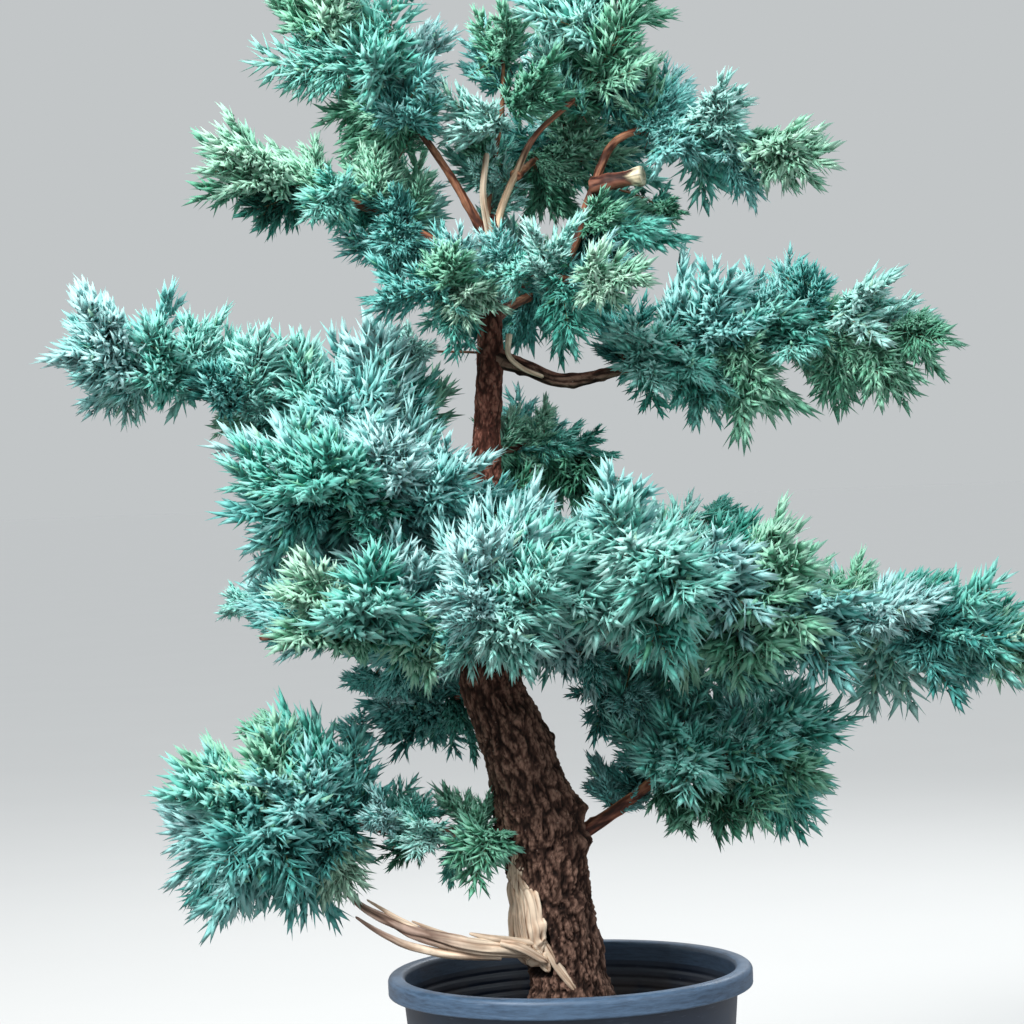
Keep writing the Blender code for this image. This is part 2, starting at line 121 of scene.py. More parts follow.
def colourRamp(tree, factor, stops, interpolation="LINEAR"):
    node = addNode(tree, "ShaderNodeValToRGB", {"Fac": factor})
    node.color_ramp.interpolation = interpolation
    elements = node.color_ramp.elements
    while len(elements) < len(stops):
        elements.new(0.5)
    for element, (place, colour) in zip(elements, stops):
        element.position = place
        element.color = (*colour, 1.0)
    return node.outputs["Color"]


def valueRamp(tree, factor, low, high, start=0.0, end=1.0):
    node = addNode(tree, "ShaderNodeMapRange", {
        "Value": factor, "From Min": low, "From Max": high, "To Min": start, "To Max": end,
    }, interpolation_type="SMOOTHSTEP")
    return node.outputs["Result"]


def startMaterial(name, settings):
    material = bpy.data.materials.new(name)
    material.use_nodes = True
    tree = material.node_tree
    shader = tree.nodes["Principled BSDF"]
    shader.inputs["Metallic"].default_value = 0.0
    shader.inputs["Specular IOR Level"].default_value = settings.get("specular", 0.5)
    return material, tree, shader


def startGroup(name, inputs, outputs):
    group = bpy.data.node_groups.new(name, "ShaderNodeTree")
    for label, kind in inputs:
        group.interface.new_socket(label, in_out="INPUT", socket_type="NodeSocket" + kind)
    for label, kind in outputs:
        group.interface.new_socket(label, in_out="OUTPUT", socket_type="NodeSocket" + kind)
    return group, addNode(group, "NodeGroupInput").outputs, addNode(group, "NodeGroupOutput")


def placeGroup(tree, group, inputs):
    node = tree.nodes.new("ShaderNodeGroup")
    node.node_tree = group
    for socket, value in inputs.items():
        if isinstance(value, bpy.types.NodeSocket):
            tree.links.new(value, node.inputs[socket])
        else:
            node.inputs[socket].default_value = value
    return node.outputs


def makeFibreGroup():
    # long streaks, short fibres and open cracks, all running along the wood's own length
    group, given, result = startGroup(
        "woodFibre",
        (("Vector", "Vector"), ("Scale", "Float"), ("Stretch", "Float")),
        (("Streak", "Float"), ("Fibre", "Float"), ("Crack", "Float")),
    )
    squeeze = addNode(group, "ShaderNodeCombineXYZ", {0: 1.0, 1: 1.0, 2: given["Stretch"]}).outputs[0]
    along = addNode(group, "ShaderNodeVectorMath", {0: given["Vector"], 1: squeeze}, operation="MULTIPLY")
    along = along.outputs[0]
    streak = addNode(group, "ShaderNodeTexNoise", {
        "Vector": along, "Scale": given["Scale"], "Detail": 5.0, "Roughness": 0.62, "Distortion": 0.5,
    }).outputs["Fac"]
    fine = maths(group, "MULTIPLY", given["Scale"], 4.5)
    fibre = addNode(group, "ShaderNodeTexNoise", {
        "Vector": along, "Scale": fine, "Detail": 3.0, "Roughness": 0.6,
    }).outputs["Fac"]
    wide = maths(group, "MULTIPLY", given["Scale"], 0.9)
    crack = addNode(group, "ShaderNodeTexVoronoi", {
        "Vector": along, "Scale": wide, "Randomness": 1.0,
    }, feature="DISTANCE_TO_EDGE").outputs["Distance"]
    for label, value in (("Streak", streak), ("Fibre", fibre), ("Crack", valueRamp(group, crack, 0.0, 0.07))):
        group.links.new(value, result.inputs[label])
    return group


def makeSpeckGroup():
    # scattered spots of dust, grit or lichen
    group, given, result = startGroup(
        "specks",
        (("Vector", "Vector"), ("Scale", "Float"), ("Amount", "Float")),
        (("Mask", "Float"), ("Cloud", "Float")),
    )
    spots = addNode(group, "ShaderNodeTexVoronoi", {"Vector": given["Vector"], "Scale": given["Scale"]})
    size = addNode(group, "ShaderNodeSeparateColor", {0: spots.outputs["Color"]}).outputs[0]
    reach = maths(group, "MULTIPLY", maths(group, "SUBTRACT", size, maths(group, "SUBTRACT", 1.0, given["Amount"])), 1.2)
    inside = maths(group, "SUBTRACT", reach, spots.outputs["Distance"])
    mask = valueRamp(group, inside, 0.0, 0.06)
    broad = maths(group, "MULTIPLY", given["Scale"], 0.09)
    cloud = addNode(group, "ShaderNodeTexNoise", {
        "Vector": given["Vector"], "Scale": broad, "Detail": 4.0, "Roughness": 0.6,
    }).outputs["Fac"]
    group.links.new(mask, result.inputs["Mask"])
    group.links.new(valueRamp(group, cloud, 0.38, 0.66), result.inputs["Cloud"])
    return group


fibreGroup = makeFibreGroup()
speckGroup = makeSpeckGroup()


# ---- camera, floor and lights ----

view = {
    "place": (-0.0333, -2.4, 0.6616),
    "pitch": 0.593,  # degrees below level
    "roll": -2.2,  # degrees
    "lens": 102.66,
}
studio = {
    "sky": (0.93, 0.97, 1.00),
    "skyStrength": 1.05,
    "horizonStrength": 0.45,  # the light from low down, as a share of the light from overhead
    "floorColour": (0.66, 0.66, 0.65),
    "floorBounce": (0.30, 0.29, 0.28),  # what the floor gives back to the object
    "floorSize": 400.0,
    "lamps": (  # name, place, aim, size, power, colour
        ("keyLamp", (-1.3, -1.9, 2.7), (0.0, 0.0, 0.75), 0.9, 112.0, (1.0, 0.985, 0.96)),
        ("fillLamp", (2.4, -1.8, 1.4), (0.0, 0.0, 0.6), 2.2, 15.0, (0.93, 0.97, 1.0)),
        ("backLamp", (0.9, 2.2, 2.4), (0.0, 0.0, 0.8), 1.6, 34.0, (0.96, 0.98, 1.0)),
    ),
}


def makeCamera():
    data = bpy.data.cameras.new("camera")
    data.lens = view["lens"]
    data.sensor_width = 36.0
    data.clip_end = 100.0
    camera = bpy.data.objects.new("camera", data)
    turn = Matrix.Rotation(math.radians(90.0 - view["pitch"]), 4, "X")
    roll = Matrix.Rotation(math.radians(view["roll"]), 4, "Z")
    camera.matrix_world = Matrix.Translation(view["place"]) @ turn @ roll
    bpy.context.scene.collection.objects.link(camera)
    bpy.context.scene.camera = camera


def makeStudio():
    build = bmesh.new()
    bmesh.ops.create_grid(build, x_segments=1, y_segments=1, size=studio["floorSize"] / 2)
    mesh = bpy.data.meshes.new("floor")
    build.to_mesh(mesh)
    build.free()
    floor = bpy.data.objects.new("floor", mesh)
    bpy.context.scene.collection.objects.link(floor)
    material, tree, shader = startMaterial("floorPaper", {"specular": 0.2})
    place = addNode(tree, "ShaderNodeTexCoord").outputs["Object"]
    grain = addNode(tree, "ShaderNodeTexNoise", {"Vector": place, "Scale": 3.0, "Detail": 4.0}).outputs["Fac"]
    pale = studio["floorColour"]
    colour = mixColour(tree, grain, [0.97 * part for part in pale], pale)
    seen = addNode(tree, "ShaderNodeLightPath").outputs["Is Camera Ray"]
    colour = mixColour(tree, seen, studio["floorBounce"], colour)
    tree.links.new(colour, shader.inputs["Base Color"])
    shader.inputs["Roughness"].default_value = 0.9
    mesh.materials.append(material)
    for name, place, aim, size, power, colour in studio["lamps"]:
        data = bpy.data.lights.new(name, "AREA")
        data.shape = "DISK"
        data.size = size
        data.energy = power
        data.color = colour
        lamp = bpy.data.objects.new(name, data)
        sight = (Vector(aim) - Vector(place)).to_track_quat("-Z", "Y").to_matrix().to_4x4()
        lamp.matrix_world = Matrix.Translation(place) @ sight
        bpy.context.scene.collection.objects.link(lamp)
    world = bpy.data.worlds.new("studio")
    world.use_nodes = True
    tree = world.node_tree
    sky = tree.nodes["Background"]
    facing = addNode(tree, "ShaderNodeTexCoord").outputs["Generated"]
    height = addNode(tree, "ShaderNodeSeparateXYZ", {0: facing}).outputs[2]
    strength = studio["skyStrength"]
    light = valueRamp(tree, height, 0.0, 1.0, strength * studio["horizonStrength"], strength)
    # seen directly, the sky is as bright as the far floor, so that no horizon shows
    average = strength * (studio["horizonStrength"] + 0.706 * (1.0 - studio["horizonStrength"]))
    seen = addNode(tree, "ShaderNodeLightPath").outputs["Is Camera Ray"]
    far = [average * a * b / max(studio["sky"]) for a, b in zip(studio["sky"], studio["floorColour"])]
    colour = mixColour(tree, seen, studio["sky"], [part / max(far) for part in far])
    tree.links.new(colour, sky.inputs["Color"])
    tree.links.new(maths(tree, "MULTIPLY_ADD", seen, maths(tree, "SUBTRACT", max(far), light), light),
                   sky.inputs["Strength"])
    bpy.context.scene.world = world


makeCamera()
makeStudio()
print("camera and studio ready")


# ---- limbs: trunk, branches and dead wood ----

def smoothRoute(stations, spacing):
    # a Catmull-Rom curve through (point, radius), with a ring about every spacing
    rows = [Vector((*point, radius)) for point, radius in stations]
    rows = [2 * rows[0] - rows[1], *rows, 2 * rows[-1] - rows[-2]]
    route = []
    for before, start, end, after in zip(rows, rows[1:], rows[2:], rows[3:]):
        steps = max(2, round((end.xyz - start.xyz).length / spacing))
        for step in range(steps):
            t = step / steps
            bend = (end - before) * t + (2 * before - 5 * start + 4 * end - after) * t**2
            row = start + 0.5 * (bend + (3 * start - before - 3 * end + after) * t**3)
            route.append((row.xyz, row.w))
    route.append((rows[-2].xyz, rows[-2].w))
    return route


def closeEnds(route, tipRound):
    # draws the ends in with a few more rings, so that a limb closes in a blunt point
    (first, firstRadius), (second, _) = route[0], route[1]
    (last, lastRadius), (previous, _) = route[-1], route[-2]
    outward = (last - previous).normalized()
    inward = (first - second).normalized()
    steps = (0.35, 0.7, 0.92, 1.0)
    head = [(first + inward * firstRadius * 0.3 * s, firstRadius * math.sqrt(1 - s * s)) for s in steps]
    tail = [(last + outward * lastRadius * tipRound * s, lastRadius * math.sqrt(1 - s * s)) for s in steps]
    return head[::-1] + route + tail


def startWood():
    build = bmesh.new()
    layers = {
        "grain": build.verts.layers.float_vector.new("grain"),  # place in the wood if it were straight
        # relief is also lowered in the trunk's hollow beside the stripped wood, as painted shade
        "relief": build.verts.layers.float.new("relief"),  # 0 in a furrow, 1 on a ridge
        # on young bark, age also carries the painted highlight on the upper side
        "age": build.verts.layers.float.new("age"),  # what age means is up to the finish
        "uv": build.loops.layers.uv.new("OFBake"),
    }
    return build, layers


def growLimb(build, layers, route, sides, shape, strip=(0.0, 1.0)):
    # a grid is rolled up round the route, then each point is moved in or out by shape,
    # which is given the direction outwards, the distance along, the length, the radius and the straightened place
    frames = []
    along = 0.0
    heading = (route[1][0] - route[0][0]).normalized()
    turn = heading.to_track_quat("Z", "Y")
    for index, (point, radius) in enumerate(route):
        ahead = route[min(index + 1, len(route) - 1)][0]
        behind = route[max(index - 1, 0)][0]
        new = (ahead - behind).normalized()
        along += (point - behind).length
        turn = heading.rotation_difference(new) @ turn
        heading = new
        frames.append((point, turn.to_matrix(), along, radius))
    rows = len(frames) - 1
    sheet = bmesh.ops.create_grid(build, x_segments=sides, y_segments=rows, size=0.5, calc_uvs=True)["verts"]
    faces = list({face for vert in sheet for face in vert.link_faces})
    for vert in sheet:
        centre, axes, along, radius = frames[round((vert.co.y + 0.5) * rows)]
        angle = math.tau * (round((vert.co.x + 0.5) * sides) % sides) / sides
        flat = Vector((math.cos(angle), math.sin(angle), 0.0))
        grain = flat * radius + upward * along
        out = axes @ flat
        push, relief, age = shape(out, along, frames[-1][2], radius, grain)
        vert.co = centre + out * max(radius + push, radius * 0.2)
        vert[layers["grain"]] = grain
        vert[layers["relief"]] = relief
        vert[layers["age"]] = age
    if strip != (0.0, 1.0):
        low, high = strip
        for face in faces:
            for loop in face.loops:
                loop[layers["uv"]].uv.y = low + (high - low) * loop[layers["uv"]].uv.y
    bmesh.ops.remove_doubles(build, verts=sheet, dist=1e-6)
    bmesh.ops.recalc_face_normals(build, faces=[face for face in faces if face.is_valid])


def plate(value, sharpness):
    # broad tops with narrow furrows where the noise crosses zero
    return min(1.0, abs(value) * sharpness)


trunkRoute = (  # x, y, height over the rim, thickness as a share of the trunk's
    (0.004, 0.000, -0.120, 0.950),
    (0.003, 0.000, -0.085, 1.300),
    (0.002, 0.000, -0.055, 1.380),
    (0.000, 0.000, -0.020, 1.050),
    (-0.005, 0.000, 0.015, 0.970),
    (-0.013, -0.001, 0.056, 1.000),
    (-0.020, -0.003, 0.113, 1.100),
    (-0.030, -0.005, 0.155, 0.980),
    (-0.041, -0.007, 0.196, 0.870),
    (-0.055, -0.008, 0.235, 0.780),
    (-0.059, -0.006, 0.290, 0.660),
    (-0.054, -0.002, 0.370, 0.460),
    (-0.052, 0.003, 0.435, 0.360),
    (-0.046, 0.004, 0.508, 0.340),
    (-0.044, 0.003, 0.565, 0.260),
    (-0.042, 0.001, 0.602, 0.290),
    (-0.040, 0.000, 0.618, 0.200),
)
strip = {  # the stripped wood on the trunk: height, angle, width, distance from the trunk's middle
    "plank": (
        (0.100, 223.0, 0.010, 0.90),
        (0.073, 217.0, 0.030, 0.95),
        (0.056, 221.0, 0.038, 0.97),
        (0.040, 218.0, 0.042, 1.00),
        (0.021, 221.0, 0.037, 1.04),
        (0.009, 236.0, 0.012, 1.02),
    ),
    "tail": (
        (0.026, 243.0, 0.006, 0.97),
        (0.008, 256.0, 0.008, 0.99),
        (-0.004, 268.0, 0.007, 0.98),
        (-0.016, 280.0, 0.004, 0.97),
    ),
    "flatness": 0.34,  # how thick the plank is, as a share of its width
}
bark = {
    "ringStep": 0.0019,
    "sides": 180,
    "furrow": 0.0044,  # depth on a trunk of full thickness
    "knobs": (  # height, angle, how far it stands out, how wide it is
        (0.137, 352.0, 0.007, 0.011),
        (0.112, 340.0, 0.007, 0.010),
        (0.196, 10.0, 0.006, 0.012),
        (0.064, 318.0, 0.004, 0.009),
        (0.170, 262.0, 0.004, 0.010),
        (0.222, 300.0, 0.005, 0.012),
        (0.020, 20.0, 0.006, 0.014),
        (0.085, 120.0, 0.006, 0.012),
        (0.150, 90.0, 0.007, 0.013),
        (0.030, 160.0, 0.005, 0.012),
    ),
    "roots": (  # angle, how far the flare stands out, how wide in degrees
        (352.0, 0.012, 26.0), (292.0, 0.005, 22.0), (225.0, 0.008, 24.0), (150.0, 0.011, 26.0), (70.0, 0.010, 28.0),
    ),
}


def trunkStations():
    return [(overRim(row[:3]), row[3] * trunkThickness / 2) for row in trunkRoute]


def stripAt(height):
    # angle and width of the stripped wood at a height
    rows = strip["plank"]
    for (high, angleHigh, widthHigh, _), (low, angleLow, widthLow, _) in zip(rows, rows[1:]):
        if low <= height <= high:
            t = (height - low) / (high - low)
            return angleLow + (angleHigh - angleLow) * t, widthLow + (widthHigh - widthLow) * t
    return None


def angleGap(first, second):
    return (first - second + 180.0) % 360.0 - 180.0


def trunkShape(out, along, length, radius, grain):
    height = grain.z + trunkRoute[0][2]
    angle = math.degrees(math.atan2(out.y, out.x)) % 360.0
    share = clamp(radius / 0.030, 0.25, 1.15)
    twist = Vector((grain.x, grain.y, grain.z * 0.40))
    wander = noise.noise_vector(grain * 34.0) * 0.0030
    plates = plate(noise.noise((twist + wander) * 150.0), 3.2)
    flakes = plate(noise.noise((Vector((grain.x, grain.y, grain.z * 0.62)) + wander) * 330.0), 2.4)
    crumbs = noise.noise(grain * 480.0) * 0.6 + noise.noise(grain * 820.0) * 0.45
    relief = 0.42 * plates + 0.36 * flakes + 0.26 * crumbs
    swell = noise.noise(Vector((grain.x, grain.y, grain.z * 0.5)) * 30.0) * 0.12 * radius
    swell += noise.noise(grain * 62.0 + Vector((0.0, 9.0, 0.0))) * 0.0022 * share
    push = bark["furrow"] * share * (relief - 0.56) + swell
    for knobHeight, knobAngle, size, wide in bark["knobs"]:
        away = math.hypot(angleGap(angle, knobAngle) * math.pi / 180.0 * radius, height - knobHeight)
        if away < wide * 2.0:
            push += size * math.exp(-((away / wide) ** 2) * 2.0)
    flare = ease(-height, -0.012, 0.055)
    for rootAngle, size, wide in bark["roots"]:
        push += flare * size * math.exp(-((angleGap(angle, rootAngle) / wide) ** 2))
    found = stripAt(height)
    if found:
        middle, wide = found
        aside = angleGap(angle, middle) * math.pi / 180.0 * radius  # + is towards the front and right
        edge = wide / 2 + 0.0015 + 0.002 * noise.noise(Vector((0.0, 3.0, height * 90.0)))
        lip = math.exp(-(((aside - edge) / 0.0035) ** 2))
        push += 0.0030 * lip * min(1.0, wide / 0.02)
        if aside < edge:
            hollowShade = ease(-aside, -edge, -edge + 0.006) * ease(aside, -edge - 0.016, -edge - 0.006)
            push -= (0.0065 if wide > 0.015 else 0.003) * hollowShade
            # painted shade: the relief is lowered in the hollow beside the stripped wood, which paints it darker
            relief -= 0.5 * hollowShade
    age = ease(height, 0.20, 0.36)  # the young wood higher up is smooth and red
    return push, clamp(relief), age


def makeTrunk():
    build, layers = startWood()
    route = closeEnds(smoothRoute(trunkStations(), bark["ringStep"]), 0.6)
    growLimb(build, layers, route, bark["sides"], trunkShape)
    return addPiece("trunk", build, barkFinish)


def deadShape(depth, tip, ragged=0.0):
    # split grain with long cracks; tip is the distance at which the grey weathering starts
    def shape(out, along, length, radius, grain):
        flat = Vector((grain.x, grain.y, grain.z * 0.07))
        wander = noise.noise_vector(grain * 28.0) * 0.002
        grooves = plate(noise.noise((flat + wander) * 190.0), 2.6)
        crack = plate(noise.noise((flat + wander * 0.6) * 85.0 + Vector((5.0, 1.0, 2.0))), 9.0)
        fibres = noise.noise(Vector((grain.x, grain.y, grain.z * 0.10)) * 620.0)
        share = clamp(radius / 0.012, 0.15, 1.0)
        lumps = noise.noise(Vector((grain.x, grain.y, grain.z * 0.35)) * 55.0) * 0.22 * radius
        relief = 0.40 * grooves + 0.45 * crack + 0.12 * fibres
        push = depth * share * (relief - 0.75) + lumps - ragged * radius * (1.0 - crack)
        return push, clamp(relief), ease(along, tip * 0.45, tip)
    return shape


def stripRoute(rows):
    centres = smoothRoute(trunkStations(), 0.004)
    stations = []
    for height, angle, wide, away in rows:
        level = rimLevel + height
        low, high = next(
            pair for pair in zip(centres, centres[1:]) if pair[0][0].z <= level <= pair[1][0].z
        )
        t = (level - low[0].z) / (high[0].z - low[0].z)
        middle = low[0].lerp(high[0], t)
        radius = low[1] + (high[1] - low[1]) * t
        turn = math.radians(angle)
        out = Vector((math.cos(turn), math.sin(turn), 0.0))
        stations.append((middle + out * radius * away, wide / 2))
    return stations


def plankShape(depth, facing):
    # dead wood that is flat on the side that faces away from the trunk, with a wavy edge
    rough = deadShape(depth, 9.0, 0.10)

    def shape(out, along, length, radius, grain):
        push, relief, age = rough(out, along, length, radius, grain)
        square = out.dot(facing) ** 2
        oval = 1.0 / math.sqrt(square / strip["flatness"] ** 2 + 1.0 - square)
        wave = 0.16 * noise.noise(Vector((out.x, out.y, along * 75.0))) * (1.0 - square)
        return push * (0.5 + 0.5 * oval) + radius * (oval - 1.0 + wave), relief, age
    return shape


def makeStrip():
    build, layers = startWood()
    facing = Vector((math.cos(math.radians(222.0)), math.sin(math.radians(222.0)), 0.0))
    route = closeEnds(smoothRoute(stripRoute(strip["plank"]), 0.0011), 1.5)
    growLimb(build, layers, route, 96, plankShape(0.0036, facing), (0.0, 0.70))
    route = closeEnds(smoothRoute(stripRoute(strip["tail"]), 0.0011), 1.5)
    growLimb(build, layers, route, 30, deadShape(0.0020, 9.0), (0.72, 1.0))
    return addPiece("deadwood_strip", build, deadFinish)


lowJin = {
    "seat": (0.018, 224.0),  # height over the rim, angle round the trunk
    "strands": (  # x, y, height from the seat, thickness
        ((0.0115, 0.006, -0.001, 0.012), (-0.0196, -0.001, 0.003, 0.0155), (-0.048, -0.003, 0.007, 0.0165),
         (-0.0742, -0.003, 0.0136, 0.0155), (-0.1001, -0.002, 0.0212, 0.0120), (-0.121, -0.001, 0.031, 0.0090),
         (-0.1363, 0.000, 0.0396, 0.0065), (-0.150, 0.001, 0.0506, 0.0035)),
        ((-0.028, -0.002, -0.003, 0.0060), (-0.0673, -0.004, 0.0005, 0.0075), (-0.1007, -0.003, 0.0085, 0.0070),
         (-0.1176, -0.002, 0.0160, 0.0055), (-0.132, -0.001, 0.0245, 0.0040), (-0.1432, 0.000, 0.0325, 0.0025)),
        ((0.002, -0.005, 0.008, 0.0060), (-0.0192, -0.006, 0.0105, 0.0070), (-0.0355, -0.005, 0.0130, 0.0060),
         (-0.050, -0.003, 0.0165, 0.0030)),
        ((-0.0273, -0.008, 0.0095, 0.0060), (-0.0113, -0.010, 0.0050, 0.0080), (0.0045, -0.009, -0.0045, 0.0065)),
        ((-0.096, -0.003, 0.0230, 0.0055), (-0.1100, -0.002, 0.0310, 0.0045), (-0.1230, 0.001, 0.0390, 0.0035),
         (-0.1340, 0.003, 0.0460, 0.0020)),
        ((-0.060, 0.004, 0.0110, 0.0050), (-0.082, 0.005, 0.0195, 0.0045), (-0.098, 0.006, 0.0270, 0.0020)),
    ),
}


def makeLowJin():
    build, layers = startWood()
    seat = stripRoute(((*lowJin["seat"], 0.01, 1.02),))[0][0]
    share = 1.0 / len(lowJin["strands"])
    for number, strand in enumerate(lowJin["strands"]):
        rows = [(seat + Vector(row[:3]), row[3] / 2) for row in strand]
        route = closeEnds(smoothRoute(rows, 0.0012), 2.2)
        growLimb(build, layers, route, 56 if number == 0 else 26,
                 deadShape(0.0034 if number == 0 else 0.0022, 0.11, 0.14), (number * share, (number + 0.96) * share))
    return addPiece("jin_low_left", build, deadFinish)


branches = {  # wood, thickness at the start and tip, then x, y and height over the rim
    "branch_low_left": ("bark", 0.018, 0.006, (
        (-0.020, 0.000, 0.122), (-0.070, -0.008, 0.110), (-0.130, -0.015, 0.120),
        (-0.200, -0.018, 0.132), (-0.268, -0.020, 0.126))),
    "branch_low_right": ("youngBark", 0.015, 0.005, (
        (-0.010, 0.000, 0.098), (0.025, 0.000, 0.117), (0.060, 0.002, 0.140), (0.092, 0.003, 0.160),
        (0.150, -0.004, 0.172))),
    "branch_back_low_left": ("bark", 0.010, 0.004, (
        (-0.050, 0.000, 0.226), (-0.076, 0.034, 0.228), (-0.106, 0.062, 0.208))),
    "branch_back_low": ("bark", 0.015, 0.005, (
        (-0.057, 0.000, 0.262), (-0.012, 0.055, 0.287), (0.030, 0.120, 0.293), (0.050, 0.184, 0.288))),
    "branch_left_lower": ("bark", 0.018, 0.006, (
        (-0.056, -0.004, 0.266), (-0.094, -0.050, 0.288), (-0.155, -0.086, 0.291),
        (-0.232, -0.108, 0.287))),
    "branch_front_low": ("bark", 0.012, 0.004, (
        (-0.058, -0.004, 0.280), (-0.050, -0.050, 0.300), (-0.046, -0.110, 0.308),
        (-0.045, -0.186, 0.299))),
    "branch_right_main": ("bark", 0.021, 0.006, (
        (-0.056, -0.004, 0.292), (-0.012, -0.006, 0.320), (0.060, -0.014, 0.324),
        (0.150, -0.018, 0.302), (0.250, -0.018, 0.278), (0.350, -0.020, 0.254))),
    "branch_right_front": ("bark", 0.013, 0.005, (
        (-0.006, -0.006, 0.322), (0.028, -0.054, 0.333), (0.066, -0.110, 0.331),
        (0.096, -0.156, 0.326))),
    "branch_back_right": ("bark", 0.011, 0.004, (
        (0.070, -0.014, 0.322), (0.108, 0.050, 0.312), (0.158, 0.130, 0.298))),
    "branch_left_middle": ("bark", 0.016, 0.005, (
        (-0.055, -0.003, 0.348), (-0.094, -0.036, 0.382), (-0.160, -0.074, 0.400),
        (-0.228, -0.106, 0.398))),
    "branch_back_left": ("bark", 0.012, 0.004, (
        (-0.054, 0.000, 0.372), (-0.092, 0.052, 0.376), (-0.140, 0.110, 0.366), (-0.174, 0.160, 0.357))),
    "branch_left_upper": ("youngBark", 0.015, 0.006, (
        (-0.053, 0.002, 0.402), (-0.092, 0.000, 0.425), (-0.140, -0.005, 0.437),
        (-0.184, -0.009, 0.448), (-0.252, -0.016, 0.470), (-0.330, -0.022, 0.506))),
    "branch_back_middle": ("bark", 0.009, 0.004, (
        (-0.052, 0.002, 0.426), (-0.024, 0.036, 0.430), (0.044, 0.074, 0.433))),
    "branch_right_upper": ("youngBark", 0.014, 0.005, (
        (-0.046, 0.004, 0.505), (-0.018, 0.000, 0.495), (0.014, -0.002, 0.483), (0.060, -0.002, 0.490),
        (0.130, 0.000, 0.512), (0.215, -0.003, 0.526), (0.300, -0.006, 0.512))),
    "branch_back_upper": ("youngBark", 0.010, 0.004, (
        (-0.045, 0.004, 0.535), (-0.020, 0.052, 0.553), (0.008, 0.118, 0.566), (0.016, 0.160, 0.568))),
    "branch_crown_right": ("youngBark", 0.013, 0.005, (
        (-0.044, 0.003, 0.556), (-0.010, 0.014, 0.566), (0.022, 0.006, 0.588), (0.042, 0.002, 0.636),
        (0.067, 0.000, 0.680), (0.130, -0.003, 0.686), (0.190, -0.006, 0.662))),
    "branch_crown_front": ("youngBark", 0.010, 0.004, (
        (-0.043, 0.002, 0.578), (-0.032, -0.034, 0.574), (-0.006, -0.066, 0.566),
        (0.036, -0.098, 0.557))),
    "branch_crown_front_left": ("youngBark", 0.008, 0.004, (
        (-0.044, 0.002, 0.560), (-0.066, -0.034, 0.562), (-0.098, -0.078, 0.555))),
    "branch_crown_left_low": ("youngBark", 0.010, 0.004, (
        (-0.043, 0.002, 0.580), (-0.068, 0.002, 0.590), (-0.096, 0.002, 0.606), (-0.150, 0.000, 0.634),
        (-0.232, -0.005, 0.662))),
    "branch_crown_left": ("youngBark", 0.011, 0.005, (
        (-0.044, 0.000, 0.598), (-0.060, -0.004, 0.630), (-0.080, -0.008, 0.665),
        (-0.107, -0.012, 0.704), (-0.162, -0.020, 0.766))),
    "branch_crown_centre": ("deadwood", 0.010, 0.004, (
        (-0.038, 0.000, 0.602), (-0.033, -0.003, 0.624), (-0.019, -0.003, 0.655),
        (0.000, -0.003, 0.687), (0.050, 0.000, 0.734), (0.050, 0.006, 0.790))),
    "branch_crown_middle": ("youngBark", 0.007, 0.004, (
        (-0.043, 0.003, 0.600), (-0.044, 0.015, 0.625), (-0.038, 0.010, 0.660),
        (-0.029, -0.012, 0.705), (-0.026, -0.028, 0.750))),
    "branch_crown_back": ("youngBark", 0.007, 0.003, (
        (-0.020, -0.003, 0.652), (0.002, 0.042, 0.672), (0.040, 0.092, 0.692))),
}
stubs = {
    "stub_crown_right": ("youngBark", 0.0125, 0.0120, (
        (0.044, 0.002, 0.641), (0.060, -0.006, 0.644), (0.083, -0.016, 0.647))),
    "jin_fork": ("deadwood", 0.0055, 0.0035, (
        (-0.030, -0.009, 0.522), (-0.031, -0.010, 0.505), (-0.020, -0.010, 0.494), (-0.005, -0.009, 0.487))),
    "jin_crown": ("deadwood", 0.007, 0.005, (
        (-0.043, -0.004, 0.604), (-0.047, -0.013, 0.636), (-0.043, -0.014, 0.668))),
}
limb = {
    "ringStep": 0.0021,
    "collar": 0.50,  # how much wider a branch is where it leaves the trunk
    "collarLength": 0.013,
    "taper": 0.70,
    "slim": {"branch_crown_left": 0.78, "branch_crown_centre": 0.76, "branch_crown_right": 0.80, "branch_crown_middle": 0.80},
    "nodesEvery": 0.026,  # swellings where a twig once grew
}


def liveShape(young, seed):
    # young wood is smooth and peels in thin strips, old wood is flaky
    def shape(out, along, length, radius, grain):
        own = grain + Vector((seed * 0.37, 0.0, 0.0))
        lengthwise = Vector((own.x, own.y, own.z * (0.14 if young else 0.26)))
        wander = noise.noise_vector(own * 40.0) * 0.0016
        plates = plate(noise.noise((lengthwise + wander) * (210.0 if young else 170.0)), 3.0)
        flakes = noise.noise(Vector((own.x, own.y, own.z * 0.4)) * 560.0)
        relief = 0.62 * plates + 0.30 * flakes + 0.12
        step = limb["nodesEvery"]
        offset = (along / step + 0.8 * noise.noise(Vector((seed, along * 18.0, 0.0)))) % 1.0
        turn = math.floor(along / step) * 2.4 + seed
        facing = 0.5 + 0.5 * math.cos(math.atan2(out.y, out.x) - turn)
        node = math.exp(-(((offset - 0.5) / 0.13) ** 2)) * facing**3
        depth = (0.0007 if young else 0.0016) * clamp(radius / 0.007, 0.3, 1.2)
        lumps = noise.noise(Vector((own.x, own.y, own.z * 0.5)) * 70.0) * 0.13 * radius
        collar = limb["collar"] * radius * math.exp(-along / limb["collarLength"])
        push = depth * (relief - 0.5) + lumps + collar + node * 0.26 * radius
        # painted highlight: on young bark the upper side is painted paler, as if lit from above
        paintedTopHighlight = 0.75 * ease(out.z, 0.25, 0.85) if young else 0.0  # the upper side is paler
        return push, clamp(relief), clamp(1.0 - radius / 0.006 + paintedTopHighlight)
    return shape


